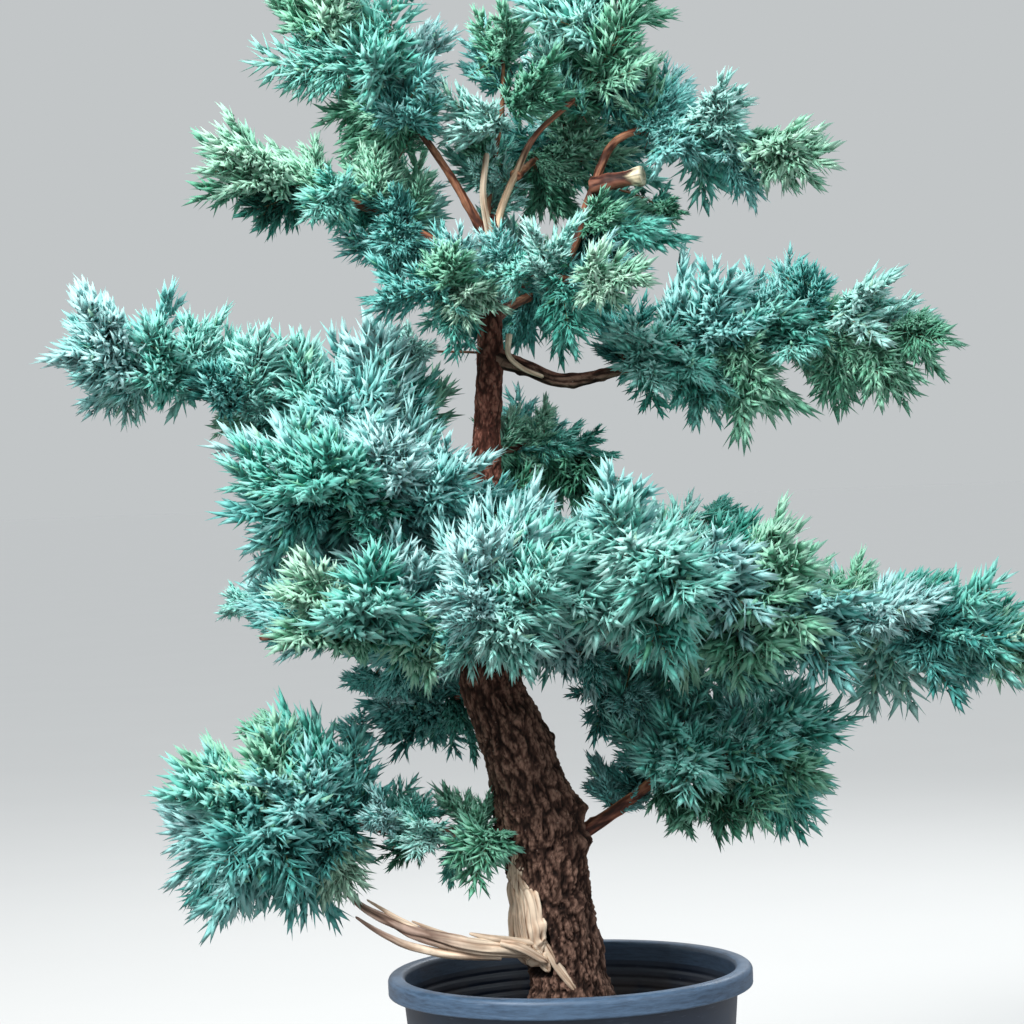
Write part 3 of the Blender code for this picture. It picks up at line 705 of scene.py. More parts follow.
def growRoute(thick, thin, points):
    # young limbs taper sooner than they would in a straight line
    spans = [0.0]
    for before, after in zip(points, points[1:]):
        spans.append(spans[-1] + (Vector(after) - Vector(before)).length)
    return [
        (overRim(point), (thick + (thin - thick) * (span / spans[-1]) ** limb["taper"]) / 2)
        for point, span in zip(points, spans)
    ]


def makeBranches():
    finishes = {"bark": barkFinish, "youngBark": youngFinish, "deadwood": deadFinish}
    ownFinishes = {
        "stub_crown_right": cutFinish, "branch_crown_centre": oldFinish, "branch_right_upper": barkFinish,
    }
    for seed, (node, (wood, thick, thin, points)) in enumerate({**branches, **stubs}.items()):
        build, layers = startWood()
        slim = limb["slim"].get(node, 1.0)
        route = smoothRoute(growRoute(thick * slim, thin * slim, points), limb["ringStep"])
        route = closeEnds(route, 1.2)
        if wood == "deadwood":
            shape = deadShape(0.0012, 0.10, 0.08)
        else:
            shape = liveShape(wood == "youngBark", seed)
        if node == "stub_crown_right":
            route, shape = sawnEnd(route[:-4], shape)
        growLimb(build, layers, route, 30 if thick > 0.012 else 22, shape)
        finish = ownFinishes.get(node, finishes[wood])
        addPiece(node, build, finish)


def sawnEnd(route, shape):
    # a flat cut with its rings of growth, round which the bark has been torn away from the pale wood
    last, radius = route[-1]
    heading = (last - route[-2][0]).normalized()
    cut = [(last + heading * 0.0006 * step, radius * (1.0 - 0.03 * step)) for step in (1, 2)]
    cut += [(last + heading * (0.0014 + 0.0001 * step), radius * (0.92 - 0.15 * step)) for step in range(1, 7)]
    reach = sum((b[0] - a[0]).length for a, b in zip(route, route[1:]))

    def cutShape(out, along, length, ringRadius, grain):
        push, relief, age = shape(out, along, length, ringRadius, grain)
        if along > reach + 0.0008:
            chips = 0.0012 * noise.noise(out * 3.0 + Vector((0, 0, 5.0))) * ringRadius / radius
            return chips, ringRadius / radius, 1.0
        torn = reach - 0.010 + 0.009 * noise.noise(out * 1.7 + Vector((3.0, 0, 0)))
        bare = ease(along, torn - 0.002, torn + 0.002)
        swell = 0.0022 * ease(along, reach - 0.014, reach - 0.002)
        return push * (1.0 - 0.5 * bare) + swell, relief, bare
    return route + cut, cutShape


woods = {
    "bark": {
        "furrow": (0.010, 0.005, 0.004), "body": (0.066, 0.034, 0.025), "ridge": (0.270, 0.160, 0.120),
        "aged": (0.100, 0.034, 0.024), "agedRidge": (0.30, 0.125, 0.092), "dust": (0.27, 0.20, 0.165),
        "dustAmount": 0.22, "scale": 250.0, "stretch": 0.45, "roughness": 0.92, "bump": 0.0016, "specular": 0.2,
    },
    "youngBark": {
        "furrow": (0.022, 0.007, 0.005), "body": (0.120, 0.034, 0.022), "ridge": (0.330, 0.120, 0.072),
        # on young bark the aged colours also paint the highlight on the upper side
        "aged": (0.240, 0.082, 0.042), "agedRidge": (0.54, 0.26, 0.14), "dust": (0.27, 0.18, 0.12),
        "dustAmount": 0.10, "scale": 160.0, "stretch": 0.14, "roughness": 0.62, "bump": 0.0005, "specular": 0.35,
    },
    "deadwood": {
        "furrow": (0.090, 0.045, 0.026), "body": (0.60, 0.410, 0.285), "ridge": (0.92, 0.760, 0.590),
        "aged": (0.190, 0.115, 0.088), "agedRidge": (0.46, 0.33, 0.27), "dust": (0.32, 0.20, 0.14),
        "dustAmount": 0.07, "scale": 130.0, "stretch": 0.055, "roughness": 0.74, "bump": 0.0006, "specular": 0.3,
    },
    "oldTwig": {
        "furrow": (0.070, 0.034, 0.020), "body": (0.46, 0.300, 0.190), "ridge": (0.80, 0.620, 0.440),
        "aged": (0.160, 0.050, 0.030), "agedRidge": (0.40, 0.165, 0.10), "dust": (0.32, 0.20, 0.14),
        "dustAmount": 0.07, "scale": 150.0, "stretch": 0.08, "roughness": 0.72, "bump": 0.0005, "specular": 0.3,
    },
    "sawnStub": {
        "furrow": (0.022, 0.007, 0.005), "body": (0.105, 0.032, 0.022), "ridge": (0.290, 0.115, 0.072),
        "aged": (0.84, 0.72, 0.50), "agedRidge": (0.92, 0.82, 0.64), "dust": (0.56, 0.42, 0.27),
        "dustAmount": 0.05, "scale": 160.0, "stretch": 0.10, "roughness": 0.66, "bump": 0.0004, "specular": 0.3,
    },
}


def makeWood(name, settings):
    material, tree, shader = startMaterial(name, settings)
    grain = addNode(tree, "ShaderNodeAttribute", attribute_name="grain").outputs["Vector"]
    relief = addNode(tree, "ShaderNodeAttribute", attribute_name="relief").outputs["Fac"]
    age = addNode(tree, "ShaderNodeAttribute", attribute_name="age").outputs["Fac"]
    fibre = placeGroup(tree, fibreGroup, {
        "Vector": grain, "Scale": settings["scale"], "Stretch": settings["stretch"],
    })
    height = maths(tree, "MULTIPLY_ADD", fibre["Fibre"], 0.35, relief)
    height = maths(tree, "MULTIPLY_ADD", fibre["Streak"], 0.45, height)
    tone = valueRamp(tree, height, 0.42, 1.32)
    young = colourRamp(tree, tone, (
        (0.0, settings["furrow"]), (0.40, settings["body"]), (1.0, settings["ridge"]),
    ))
    old = colourRamp(tree, tone, (
        (0.0, [0.35 * part for part in settings["aged"]]), (0.45, settings["aged"]), (1.0, settings["agedRidge"]),
    ))
    colour = mixColour(tree, age, young, old)
    cracked = mixColour(tree, fibre["Crack"], [0.30 * part for part in settings["body"]], colour)
    colour = mixColour(tree, 0.45, colour, cracked)
    place = addNode(tree, "ShaderNodeTexCoord").outputs["Object"]
    dust = placeGroup(tree, speckGroup, {"Vector": place, "Scale": 340.0, "Amount": settings["dustAmount"]})
    dusted = maths(tree, "MULTIPLY", dust["Mask"], 0.55)
    colour = mixColour(tree, dusted, colour, settings["dust"])
    broad = valueRamp(tree, dust["Cloud"], 0.0, 1.0, 0.80, 1.12)
    colour = mixColour(tree, 1.0, colour, addNode(tree, "ShaderNodeCombineXYZ", {
        0: broad, 1: broad, 2: broad,
    }).outputs[0], "MULTIPLY")
    tree.links.new(colour, shader.inputs["Base Color"])
    rough = valueRamp(tree, fibre["Fibre"], 0.3, 0.7, settings["roughness"] - 0.08, min(1.0, settings["roughness"] + 0.07))
    tree.links.new(rough, shader.inputs["Roughness"])
    bump = addNode(tree, "ShaderNodeBump", {"Strength": 0.9, "Distance": settings["bump"], "Height": height})
    tree.links.new(bump.outputs["Normal"], shader.inputs["Normal"])
    return material


barkFinish = makeWood("bark", woods["bark"])
youngFinish = makeWood("youngBark", woods["youngBark"])
deadFinish = makeWood("deadwood", woods["deadwood"])
oldFinish = makeWood("oldTwig", woods["oldTwig"])
cutFinish = makeWood("sawnStub", woods["sawnStub"])


# ---- nursery pot ----

pot = {
    "rim": 0.150,  # outer radius of the lip
    "base": 0.116,
    "height": rimLevel,
    "wall": 0.003,
    "floor": 0.004,
    "lipOverhang": 0.011,
    "lipHeight": 0.016,
    "lipThickness": 0.003,
    "lipRound": 0.005,
    "ribs": 5,
    "ribPitch": 0.0085,
    "ribDepth": 0.0010,
    "steps": 192,  # round the pot
    "drains": 6,
    "drainRadius": 0.009,
    "drainHeight": 0.014,
    "colour": (0.016, 0.028, 0.054),
    "sheen": (0.036, 0.062, 0.104),
    # a painted highlight along the lip
    "lipHighlightColour": (0.082, 0.150, 0.250),
    "dirt": (0.085, 0.062, 0.046),
}


def potWall(height):
    top = pot["rim"] - pot["lipOverhang"]
    return pot["base"] + (top - pot["base"]) * height / pot["height"]


def arc(centre, level, radius, start, end, steps):
    turns = [math.radians(start + (end - start) * step / steps) for step in range(steps + 1)]
    return [(centre + radius * math.cos(turn), level + radius * math.sin(turn)) for turn in turns]


def potOutline():
    # from the middle of the floor up the inside, over the lip, down the outside and under the base
    inside = lambda level: potWall(level) - pot["wall"]
    outline = [(0.0, pot["floor"]), (0.05, pot["floor"]), (inside(0.0) - 0.004, pot["floor"])]
    outline += arc(inside(0.0) - 0.004, pot["floor"] + 0.004, 0.004, -80, -5, 5)
    top = pot["height"] - pot["lipHeight"]
    bottom = top - pot["ribs"] * pot["ribPitch"]
    for step in range(1, 9):
        level = pot["floor"] + 0.006 + (bottom - pot["floor"] - 0.006) * step / 9
        outline.append((inside(level), level))
    for step in range(pot["ribs"] * 8 + 1):
        level = bottom + pot["ribPitch"] * step / 8
        swell = max(0.0, math.sin(math.tau * step / 8)) ** 0.7
        outline.append((inside(level) + pot["ribDepth"] * swell, level))
    shoulder = pot["height"] - pot["lipRound"]
    mouth = inside(shoulder)
    outline += arc(mouth + pot["lipRound"], shoulder, pot["lipRound"], 180, 90, 8)
    outline += arc(pot["rim"] - pot["lipRound"], shoulder, pot["lipRound"], 84, 0, 10)
    edge = pot["rim"] - pot["lipThickness"]
    outline += [(pot["rim"], shoulder - 0.004), (pot["rim"] - 0.0001, top + 0.002)]
    outline += arc(edge + 0.0015, top + 0.0015, 0.0015, 0, -180, 8)
    tuck = pot["height"] - pot["lipHeight"] / 2
    outline += [(edge, tuck - 0.002)]
    outline += arc(edge - 0.002, tuck - 0.002, 0.002, 30, 90, 3)
    outline += [(potWall(tuck) + 0.001, tuck), (potWall(tuck - 0.001), tuck - 0.001)]
    for share in (0.97, 0.93, 0.85, 0.7, 0.55, 0.4, 0.25, 0.12, 0.06):
        outline.append((potWall(tuck * share), tuck * share))
    outline += arc(pot["base"] - 0.003, 0.003, 0.003, 0, -90, 5)
    outline += [(pot["base"] - 0.010, 0.0), (pot["base"] - 0.012, 0.0015), (0.060, 0.0015), (0.0, 0.0015)]
    return outline


def spinOutline(build, outline, steps, top=1.0):
    # turns an outline of (radius, height) about the upright axis and gives it a plain sleeve of UVs,
    # which fills the map from its foot to top
    spots = build.loops.layers.uv.new("OFBake")
    walked = build.verts.layers.float.new("walked")
    verts = [build.verts.new((radius, 0.0, level)) for radius, level in outline]
    travel = 0.0
    for before, after in zip(verts, verts[1:]):
        build.edges.new((before, after))
        travel += (after.co - before.co).length + 1e-5
        after[walked] = travel
    bmesh.ops.spin(
        build, geom=build.verts[:] + build.edges[:], axis=upward, cent=(0.0, 0.0, 0.0),
        angle=math.tau, steps=steps, use_merge=True,
    )
    bmesh.ops.remove_doubles(build, verts=build.verts, dist=1e-6)
    bmesh.ops.recalc_face_normals(build, faces=build.faces)
    for face in build.faces:
        middle = face.calc_center_median()
        facing = math.atan2(middle.y, middle.x)
        for loop in face.loops:
            place = loop.vert.co
            turn = facing
            if place.xy.length > 1e-5:
                own = math.atan2(place.y, place.x)
                turn += (own - facing + math.pi) % math.tau - math.pi
            loop[spots].uv = ((turn + math.pi) / math.tau, top * loop.vert[walked] / travel)


def makePotPlastic():
    material, tree, shader = startMaterial("potPlastic", {"specular": 0.5})
    place = addNode(tree, "ShaderNodeTexCoord").outputs["Object"]
    split = addNode(tree, "ShaderNodeSeparateXYZ", {0: place}).outputs
    around = addNode(tree, "ShaderNodeMapping", {"Vector": place, "Scale": (1.0, 1.0, 9.0)}).outputs[0]
    scratch = addNode(tree, "ShaderNodeTexNoise", {
        "Vector": around, "Scale": 60.0, "Detail": 8.0, "Roughness": 0.72,
    }).outputs["Fac"]
    cloud = addNode(tree, "ShaderNodeTexNoise", {"Vector": place, "Scale": 16.0, "Detail": 5.0}).outputs["Fac"]
    grit = placeGroup(tree, speckGroup, {"Vector": place, "Scale": 210.0, "Amount": 0.14})
    spots = placeGroup(tree, speckGroup, {"Vector": place, "Scale": 95.0, "Amount": 0.07})
    colour = mixColour(tree, valueRamp(tree, cloud, 0.35, 0.75), pot["colour"], pot["sheen"])
    # painted highlight: the lip is painted a paler blue in streaks
    onLip = valueRamp(tree, split[2], rimLevel - pot["lipHeight"] - 0.0005, rimLevel - pot["lipHeight"] + 0.0005)
    paintedLipHighlight = maths(tree, "MULTIPLY", onLip, valueRamp(tree, scratch, 0.30, 0.62, 0.25, 0.85))
    colour = mixColour(tree, paintedLipHighlight, colour, pot["lipHighlightColour"])
    scuffed = maths(tree, "MULTIPLY", valueRamp(tree, scratch, 0.58, 0.70), 0.45)
    colour = mixColour(tree, scuffed, colour, (0.16, 0.20, 0.26))
    colour = mixColour(tree, maths(tree, "MULTIPLY", grit["Mask"], 0.5), colour, (0.30, 0.33, 0.36))
    colour = mixColour(tree, maths(tree, "MULTIPLY", spots["Mask"], 0.8), colour, (0.44, 0.43, 0.40))
    low = valueRamp(tree, split[2], 0.0, 0.055, 1.0, 0.0)
    splash = maths(tree, "MULTIPLY", low, valueRamp(tree, scratch, 0.38, 0.62))
    distance = addNode(tree, "ShaderNodeVectorMath", {
        0: addNode(tree, "ShaderNodeCombineXYZ", {0: split[0], 1: split[1], 2: 0.0}).outputs[0],
    }, operation="LENGTH").outputs["Value"]
    # dried soil: on the inner wall above the soil, and thickest on the left
    slope = (pot["rim"] - pot["lipOverhang"] - pot["base"]) / pot["height"]
    middle = maths(tree, "MULTIPLY_ADD", split[2], slope, pot["base"] - pot["wall"] / 2)
    inner = maths(tree, "LESS_THAN", distance, middle)
    deep = valueRamp(tree, split[2], rimLevel - 0.050, rimLevel - 0.012, 1.0, 0.0)
    leftward = valueRamp(tree, split[0], -0.135, -0.105, 1.0, 0.0)
    backLeft = maths(tree, "MULTIPLY", leftward, valueRamp(tree, split[1], 0.085, 0.02, 1.0, 0.0))
    mud = maths(tree, "MAXIMUM", maths(tree, "MULTIPLY", deep, 0.75), maths(tree, "MULTIPLY", backLeft, 0.7))
    mud = maths(tree, "MULTIPLY", maths(tree, "MULTIPLY", mud, inner), valueRamp(tree, cloud, 0.38, 0.58))
    dirt = maths(tree, "MAXIMUM", maths(tree, "MULTIPLY", splash, 0.55), mud)
    # painted shade: the inside of the pot is painted darker
    colour = mixColour(tree, maths(tree, "MULTIPLY", inner, 0.45), colour, (0.008, 0.014, 0.026))
    colour = mixColour(tree, dirt, colour, pot["dirt"])
    tree.links.new(colour, shader.inputs["Base Color"])
    rough = valueRamp(tree, cloud, 0.3, 0.7, 0.34, 0.50)
    rough = maths(tree, "ADD", rough, maths(tree, "MULTIPLY", maths(tree, "MAXIMUM", dirt, scuffed), 0.45), clampIt=True)
    tree.links.new(rough, shader.inputs["Roughness"])
    height = maths(tree, "MULTIPLY_ADD", grit["Mask"], 0.6, maths(tree, "MULTIPLY", scratch, 0.5))
    bump = addNode(tree, "ShaderNodeBump", {"Strength": 0.35, "Distance": 0.0004, "Height": height})
    tree.links.new(bump.outputs["Normal"], shader.inputs["Normal"])
    return material


def makePot():
    build = bmesh.new()
    spinOutline(build, potOutline(), pot["steps"])
    piece = addPiece("nursery_pot", build, makePotPlastic())
    piece.data.set_sharp_from_angle(angle=math.radians(50.0))
    drains = bmesh.new()
    for number in range(pot["drains"]):
        turn = math.tau * (number + 0.5) / pot["drains"]
        reach = pot["base"] - pot["drainRadius"] * 2 / 3
        bmesh.ops.create_cone(
            drains, cap_ends=True, segments=32, radius1=pot["drainRadius"], radius2=pot["drainRadius"],
            depth=2 * pot["drainHeight"],
            matrix=Matrix.Translation((reach * math.cos(turn), reach * math.sin(turn), 0.0)),
        )
    mesh = bpy.data.meshes.new("drains")
    drains.to_mesh(mesh)
    drains.free()
    cutter = bpy.data.objects.new("drains", mesh)
    bpy.context.scene.collection.objects.link(cutter)
    cut = piece.modifiers.new("drains", "BOOLEAN")
    cut.object = cutter
    cut.operation = "DIFFERENCE"
    cut.solver = "EXACT"
    graph = bpy.context.evaluated_depsgraph_get()
    whole = bpy.data.meshes.new_from_object(piece.evaluated_get(graph))
    piece.modifiers.clear()
    piece.data = whole
    bpy.data.objects.remove(cutter)
    return piece


# ---- soil ----

soil = {
    "level": rimLevel - 0.056,
    "mound": 0.008,
    "gap": 0.0003,
    "steps": 160,
    "rings": 60,
    "crumbs": 1500,
    "chips": 300,
    "shades": 6,
    "dark": (0.010, 0.007, 0.005),
    "body": (0.040, 0.026, 0.018),
    "pale": (0.135, 0.088, 0.058),
}


def soilHeight(x, y, edge):
    share = min(1.0, math.hypot(x, y) / edge)
    level = soil["level"] + soil["mound"] * (0.5 + 0.5 * math.cos(math.pi * share))
    place = Vector((x, y, 0.0))
    lumps = noise.fractal(place * 45.0, 1.0, 2.1, 4) * 0.0022
    clods = noise.noise(place * 210.0) * 0.0012 + noise.noise(place * 420.0) * 0.0007
    return level + (lumps + clods) * ease(1.0 - share, 0.0, 0.05) - 0.0005


def makeSoilFinish():
    material, tree, shader = startMaterial("pottingSoil", {"specular": 0.2})
    place = addNode(tree, "ShaderNodeTexCoord").outputs["Object"]
    tint = addNode(tree, "ShaderNodeAttribute", attribute_name="tint").outputs["Fac"]
    crumb = addNode(tree, "ShaderNodeTexNoise", {"Vector": place, "Scale": 260.0, "Detail": 6.0, "Roughness": 0.7})
    grit = placeGroup(tree, speckGroup, {"Vector": place, "Scale": 320.0, "Amount": 0.13})
    tone = maths(tree, "MULTIPLY_ADD", crumb.outputs["Fac"], 0.55, tint)
    colour = colourRamp(tree, tone, (
        (0.0, soil["dark"]), (0.30, soil["dark"]), (0.62, soil["body"]), (0.88, soil["pale"]), (1.0, (0.24, 0.15, 0.10)),
    ))
    colour = mixColour(tree, maths(tree, "MULTIPLY", grit["Mask"], 0.5), colour, (0.33, 0.27, 0.20))
    tree.links.new(colour, shader.inputs["Base Color"])
    tree.links.new(valueRamp(tree, crumb.outputs["Fac"], 0.3, 0.7, 0.85, 1.0), shader.inputs["Roughness"])
    bump = addNode(tree, "ShaderNodeBump", {"Strength": 0.8, "Distance": 0.001, "Height": crumb.outputs["Fac"]})
    tree.links.new(bump.outputs["Normal"], shader.inputs["Normal"])
    return material


def makeCrumb(shade):
    # one lump of soil. Its colours lie in the upper half of the map
    build = bmesh.new()
    tint = build.verts.layers.float.new("tint")
    spots = build.loops.layers.uv.new("OFBake")
    verts = bmesh.ops.create_icosphere(build, subdivisions=1, radius=1.0)["verts"]
    for vert in verts:
        vert.co += noise.noise_vector(vert.co * 1.3 + Vector((shade * 7.0, 0.0, 0.0))) * 0.35
        vert[tint] = shade
    for face in build.faces:
        for loop in face.loops:
            place = loop.vert.co
            column = 0.5 + 0.22 * place.x + 0.20 * place.z * (1 if place.y > 0 else -1)
            loop[spots].uv = (0.02 + (shade + 0.16 * column) * 0.96, 0.76 + 0.10 * place.y + 0.05 * place.z)
    mesh = bpy.data.meshes.new("crumb")
    build.to_mesh(mesh)
    build.free()
    mesh.shade_smooth()
    return mesh


def joinParts(piece, parts, material):
    chosen = [piece, *parts]
    with bpy.context.temp_override(
        active_object=piece, object=piece, selected_objects=chosen, selected_editable_objects=chosen,
    ):
        bpy.ops.object.join()
    piece.data.materials.clear()
    piece.data.materials.append(material)


def placePart(mesh, matrix):
    part = bpy.data.objects.new("part", mesh)
    part.matrix_world = matrix
    bpy.context.scene.collection.objects.link(part)
    return part


def makeSoil():
    edge = potWall(soil["level"]) - pot["wall"] - soil["gap"]
    bottom = pot["floor"] + soil["gap"]
    foot = potWall(bottom) - pot["wall"] - soil["gap"] - 0.004
    outline = [(edge * step / soil["rings"], 1.0) for step in range(soil["rings"] + 1)]
    outline += [(edge - 0.0001, soil["level"] - 0.004), (foot, bottom), (0.0, bottom)]
    build = bmesh.new()
    spinOutline(build, outline, soil["steps"], 0.5)
    tint = build.verts.layers.float.new("tint")
    for vert in build.verts:
        if vert.co.z > 0.9:
            vert.co.z = soilHeight(vert.co.x, vert.co.y, edge)
        vert[tint] = 0.10 + 0.12 * noise.noise(vert.co * 60.0)
    material = makeSoilFinish()
    piece = addPiece("potting_soil", build, material)
    crumbs = [makeCrumb(number / soil["shades"]) for number in range(soil["shades"])]
    parts = []
    rng = random.Random(11)
    for number in range(soil["crumbs"] + soil["chips"]):
        chip = number >= soil["crumbs"]
        reach = (edge - 0.005) * math.sqrt(rng.random())
        turn = rng.uniform(0.0, math.tau)
        x, y = reach * math.cos(turn), reach * math.sin(turn)
        if chip:
            size = Vector((rng.uniform(0.0035, 0.0075), rng.uniform(0.0018, 0.0034), rng.uniform(0.0009, 0.0018)))
            crumb = rng.choice(crumbs[2:5])
        else:
            size = Vector((1.0, rng.uniform(0.7, 1.0), rng.uniform(0.6, 0.9))) * rng.uniform(0.0011, 0.0026)
            crumb = rng.choice(crumbs[:4])
        lie = Matrix.Rotation(rng.uniform(0, math.tau), 4, "Z") @ Matrix.Rotation(rng.uniform(-0.5, 0.5), 4, "X")
        lie = lie @ Matrix.Rotation(rng.uniform(-0.4, 0.4), 4, "Y") @ Matrix.Diagonal((*size, 1.0))
        place = Matrix.Translation((x, y, soilHeight(x, y, edge) + size.z * 0.35))
        parts.append(placePart(crumb, place @ lie))
    joinParts(piece, parts, material)
    for crumb in crumbs:
        bpy.data.meshes.remove(crumb)
    return piece


# ---- foliage ----

pads = {  # for every lobe: root end, tip end, width, height
    "foliage_low_left": (
        ((-0.15, -0.015, 0.155), (-0.31, -0.025, 0.13), 0.165, 0.15),
        ((-0.155, 0, 0.195), (-0.27, 0, 0.21), 0.09, 0.04),
        ((-0.26, -0.02, 0.075), (-0.305, -0.02, 0.07), 0.06, 0.035),
        ((-0.22, -0.02, 0.11), (-0.18, -0.02, 0.07), 0.05, 0.03),
    ),
    "foliage_low_left_inner": (
        ((-0.04, -0.03, 0.12), (-0.16, -0.02, 0.115), 0.09, 0.055),
        ((-0.12, -0.02, 0.135), (-0.155, -0.01, 0.15), 0.06, 0.035),
    ),
    "foliage_low_right": (
        ((0.06, 0.01, 0.22), (0.205, -0.01, 0.145), 0.14, 0.105),
        ((0.02, 0.02, 0.24), (0.08, 0, 0.215), 0.08, 0.065),
        ((0.05, 0.03, 0.18), (0.115, 0.01, 0.155), 0.06, 0.045),
        ((0.17, 0, 0.17), (0.225, -0.01, 0.21), 0.08, 0.08),
        ((0.08, 0, 0.12), (0.21, -0.01, 0.12), 0.07, 0.04),
        ((0.03, 0.03, 0.16), (0.065, 0.03, 0.145), 0.04, 0.025),
    ),
    "foliage_front_low": (
        ((-0.045, -0.07, 0.33), (-0.045, -0.215, 0.31), 0.15, 0.085),
    ),
    "foliage_right_front": (
        ((-0.035, -0.06, 0.345), (0.115, -0.19, 0.325), 0.13, 0.115),
        ((-0.07, -0.035, 0.37), (0.005, -0.07, 0.38), 0.075, 0.055),
    ),
    "foliage_right_middle": (
        ((0.06, -0.01, 0.32), (0.245, -0.06, 0.275), 0.19, 0.095),
        ((0, 0, 0.26), (0.2, -0.01, 0.24), 0.09, 0.045),
        ((0.09, 0.02, 0.37), (0.175, 0.01, 0.355), 0.07, 0.035),
    ),
    "foliage_right_tip": (
        ((0.215, -0.01, 0.3), (0.41, -0.02, 0.25), 0.15, 0.08),
        ((0.23, 0, 0.315), (0.305, -0.01, 0.295), 0.07, 0.035),
    ),
    "foliage_left_lower": (
        ((-0.05, -0.08, 0.3), (-0.235, -0.11, 0.305), 0.15, 0.08),
        ((-0.205, -0.05, 0.31), (-0.27, -0.06, 0.31), 0.05, 0.015),
        ((-0.105, -0.02, 0.25), (-0.18, -0.03, 0.245), 0.05, 0.025),
    ),
    "foliage_left_middle": (
        ((-0.07, -0.03, 0.4), (-0.255, -0.115, 0.4), 0.16, 0.12),
        ((-0.075, -0.035, 0.38), (-0.12, -0.05, 0.41), 0.07, 0.05),
    ),
    "foliage_left_upper": (
        ((-0.09, 0, 0.48), (-0.24, -0.02, 0.475), 0.15, 0.08),
        ((-0.205, 0, 0.45), (-0.275, -0.01, 0.46), 0.07, 0.04),
        ((-0.11, 0, 0.49), (-0.125, -0.01, 0.525), 0.05, 0.04),
    ),
    "foliage_left_tip": (
        ((-0.215, -0.01, 0.495), (-0.41, -0.03, 0.54), 0.125, 0.07),
        ((-0.335, 0, 0.485), (-0.38, -0.01, 0.48), 0.05, 0.025),
    ),
    "foliage_right_upper": (
        ((0.045, 0, 0.505), (0.215, 0, 0.52), 0.14, 0.105),
        ((0.16, 0.01, 0.55), (0.24, 0, 0.565), 0.07, 0.035),
        ((0.115, 0, 0.48), (0.185, -0.01, 0.455), 0.06, 0.035),
    ),
    "foliage_right_upper_tip": (
        ((0.2, 0, 0.53), (0.33, -0.01, 0.5), 0.13, 0.07),
        ((0.205, 0, 0.48), (0.295, -0.01, 0.455), 0.055, 0.03),
    ),
    "foliage_crown_front": (
        ((-0.035, -0.045, 0.565), (0.075, -0.125, 0.55), 0.1, 0.075),
        ((-0.075, -0.035, 0.59), (-0.035, -0.06, 0.54), 0.06, 0.05),
        ((-0.06, -0.04, 0.575), (-0.03, -0.05, 0.595), 0.05, 0.03),
    ),
    "foliage_crown_front_left": (
        ((-0.05, -0.015, 0.565), (-0.12, -0.11, 0.55), 0.09, 0.07),
        ((-0.1, -0.01, 0.585), (-0.145, -0.03, 0.585), 0.05, 0.03),
    ),
    "foliage_crown_under": (
        ((0.025, 0.01, 0.605), (0.11, 0.03, 0.6), 0.1, 0.06),
        ((0.07, 0.05, 0.625), (0.125, 0.05, 0.625), 0.05, 0.025),
    ),
    "foliage_crown_left_low": (
        ((-0.09, 0.005, 0.635), (-0.29, -0.01, 0.665), 0.11, 0.06),
        ((-0.095, 0.05, 0.62), (-0.135, 0.045, 0.67), 0.05, 0.04),
        ((-0.115, 0.01, 0.68), (-0.17, 0, 0.705), 0.05, 0.025),
    ),
    "foliage_crown_left": (
        ((-0.065, -0.005, 0.69), (-0.225, -0.045, 0.81), 0.11, 0.085),
    ),
    "foliage_crown_middle": (
        ((-0.03, -0.03, 0.665), (-0.025, -0.03, 0.79), 0.085, 0.085),
        ((-0.06, 0.03, 0.65), (-0.055, 0.02, 0.69), 0.05, 0.045),
    ),
    "foliage_crown_top": (
        ((0.03, 0.005, 0.69), (0.05, 0.01, 0.84), 0.11, 0.105),
    ),
    "foliage_crown_right": (
        ((0.075, 0, 0.685), (0.23, -0.03, 0.65), 0.135, 0.055),
        ((0.075, 0.03, 0.72), (0.12, 0.02, 0.715), 0.07, 0.045),
        ((0.11, 0.05, 0.685), (0.17, 0.03, 0.69), 0.07, 0.025),
    ),
    "foliage_back_low_left": (
        ((-0.07, 0.03, 0.235), (-0.125, 0.08, 0.19), 0.075, 0.065),
        ((-0.13, 0.02, 0.22), (-0.16, 0.01, 0.235), 0.05, 0.035),
    ),
    "foliage_back_low": (
        ((0.005, 0.07, 0.3), (0.06, 0.22, 0.285), 0.18, 0.115),
    ),
    "foliage_back_right": (
        ((0.105, 0.065, 0.3), (0.185, 0.195, 0.25), 0.15, 0.09),
    ),
    "foliage_back_left": (
        ((-0.105, 0.065, 0.385), (-0.195, 0.195, 0.35), 0.165, 0.12),
    ),
    "foliage_back_middle": (
        ((-0.025, 0.035, 0.43), (0.04, 0.09, 0.425), 0.09, 0.055),
        ((-0.065, 0.03, 0.43), (0.015, 0.07, 0.435), 0.08, 0.065),
        ((-0.045, 0.03, 0.38), (0.06, 0.06, 0.375), 0.08, 0.04),
    ),
    "foliage_back_upper": (
        ((-0.02, 0.06, 0.56), (0.025, 0.19, 0.565), 0.14, 0.1),
    ),
    "foliage_crown_back": (
        ((0, 0.04, 0.67), (0.06, 0.14, 0.7), 0.12, 0.095),
        ((-0.025, 0.05, 0.625), (0.02, 0.06, 0.65), 0.05, 0.04),
    ),
}
needle = {
    "length": 0.0190,
    "width": 0.0074,
    "thickness": 0.0017,
    "spacing": 0.0036,  # along the shoot
    "spiral": 137.5,  # degrees from one to the next
    "spreadAtFoot": 48.0,  # degrees from the shoot
    "spreadAtTip": 18.0,
}
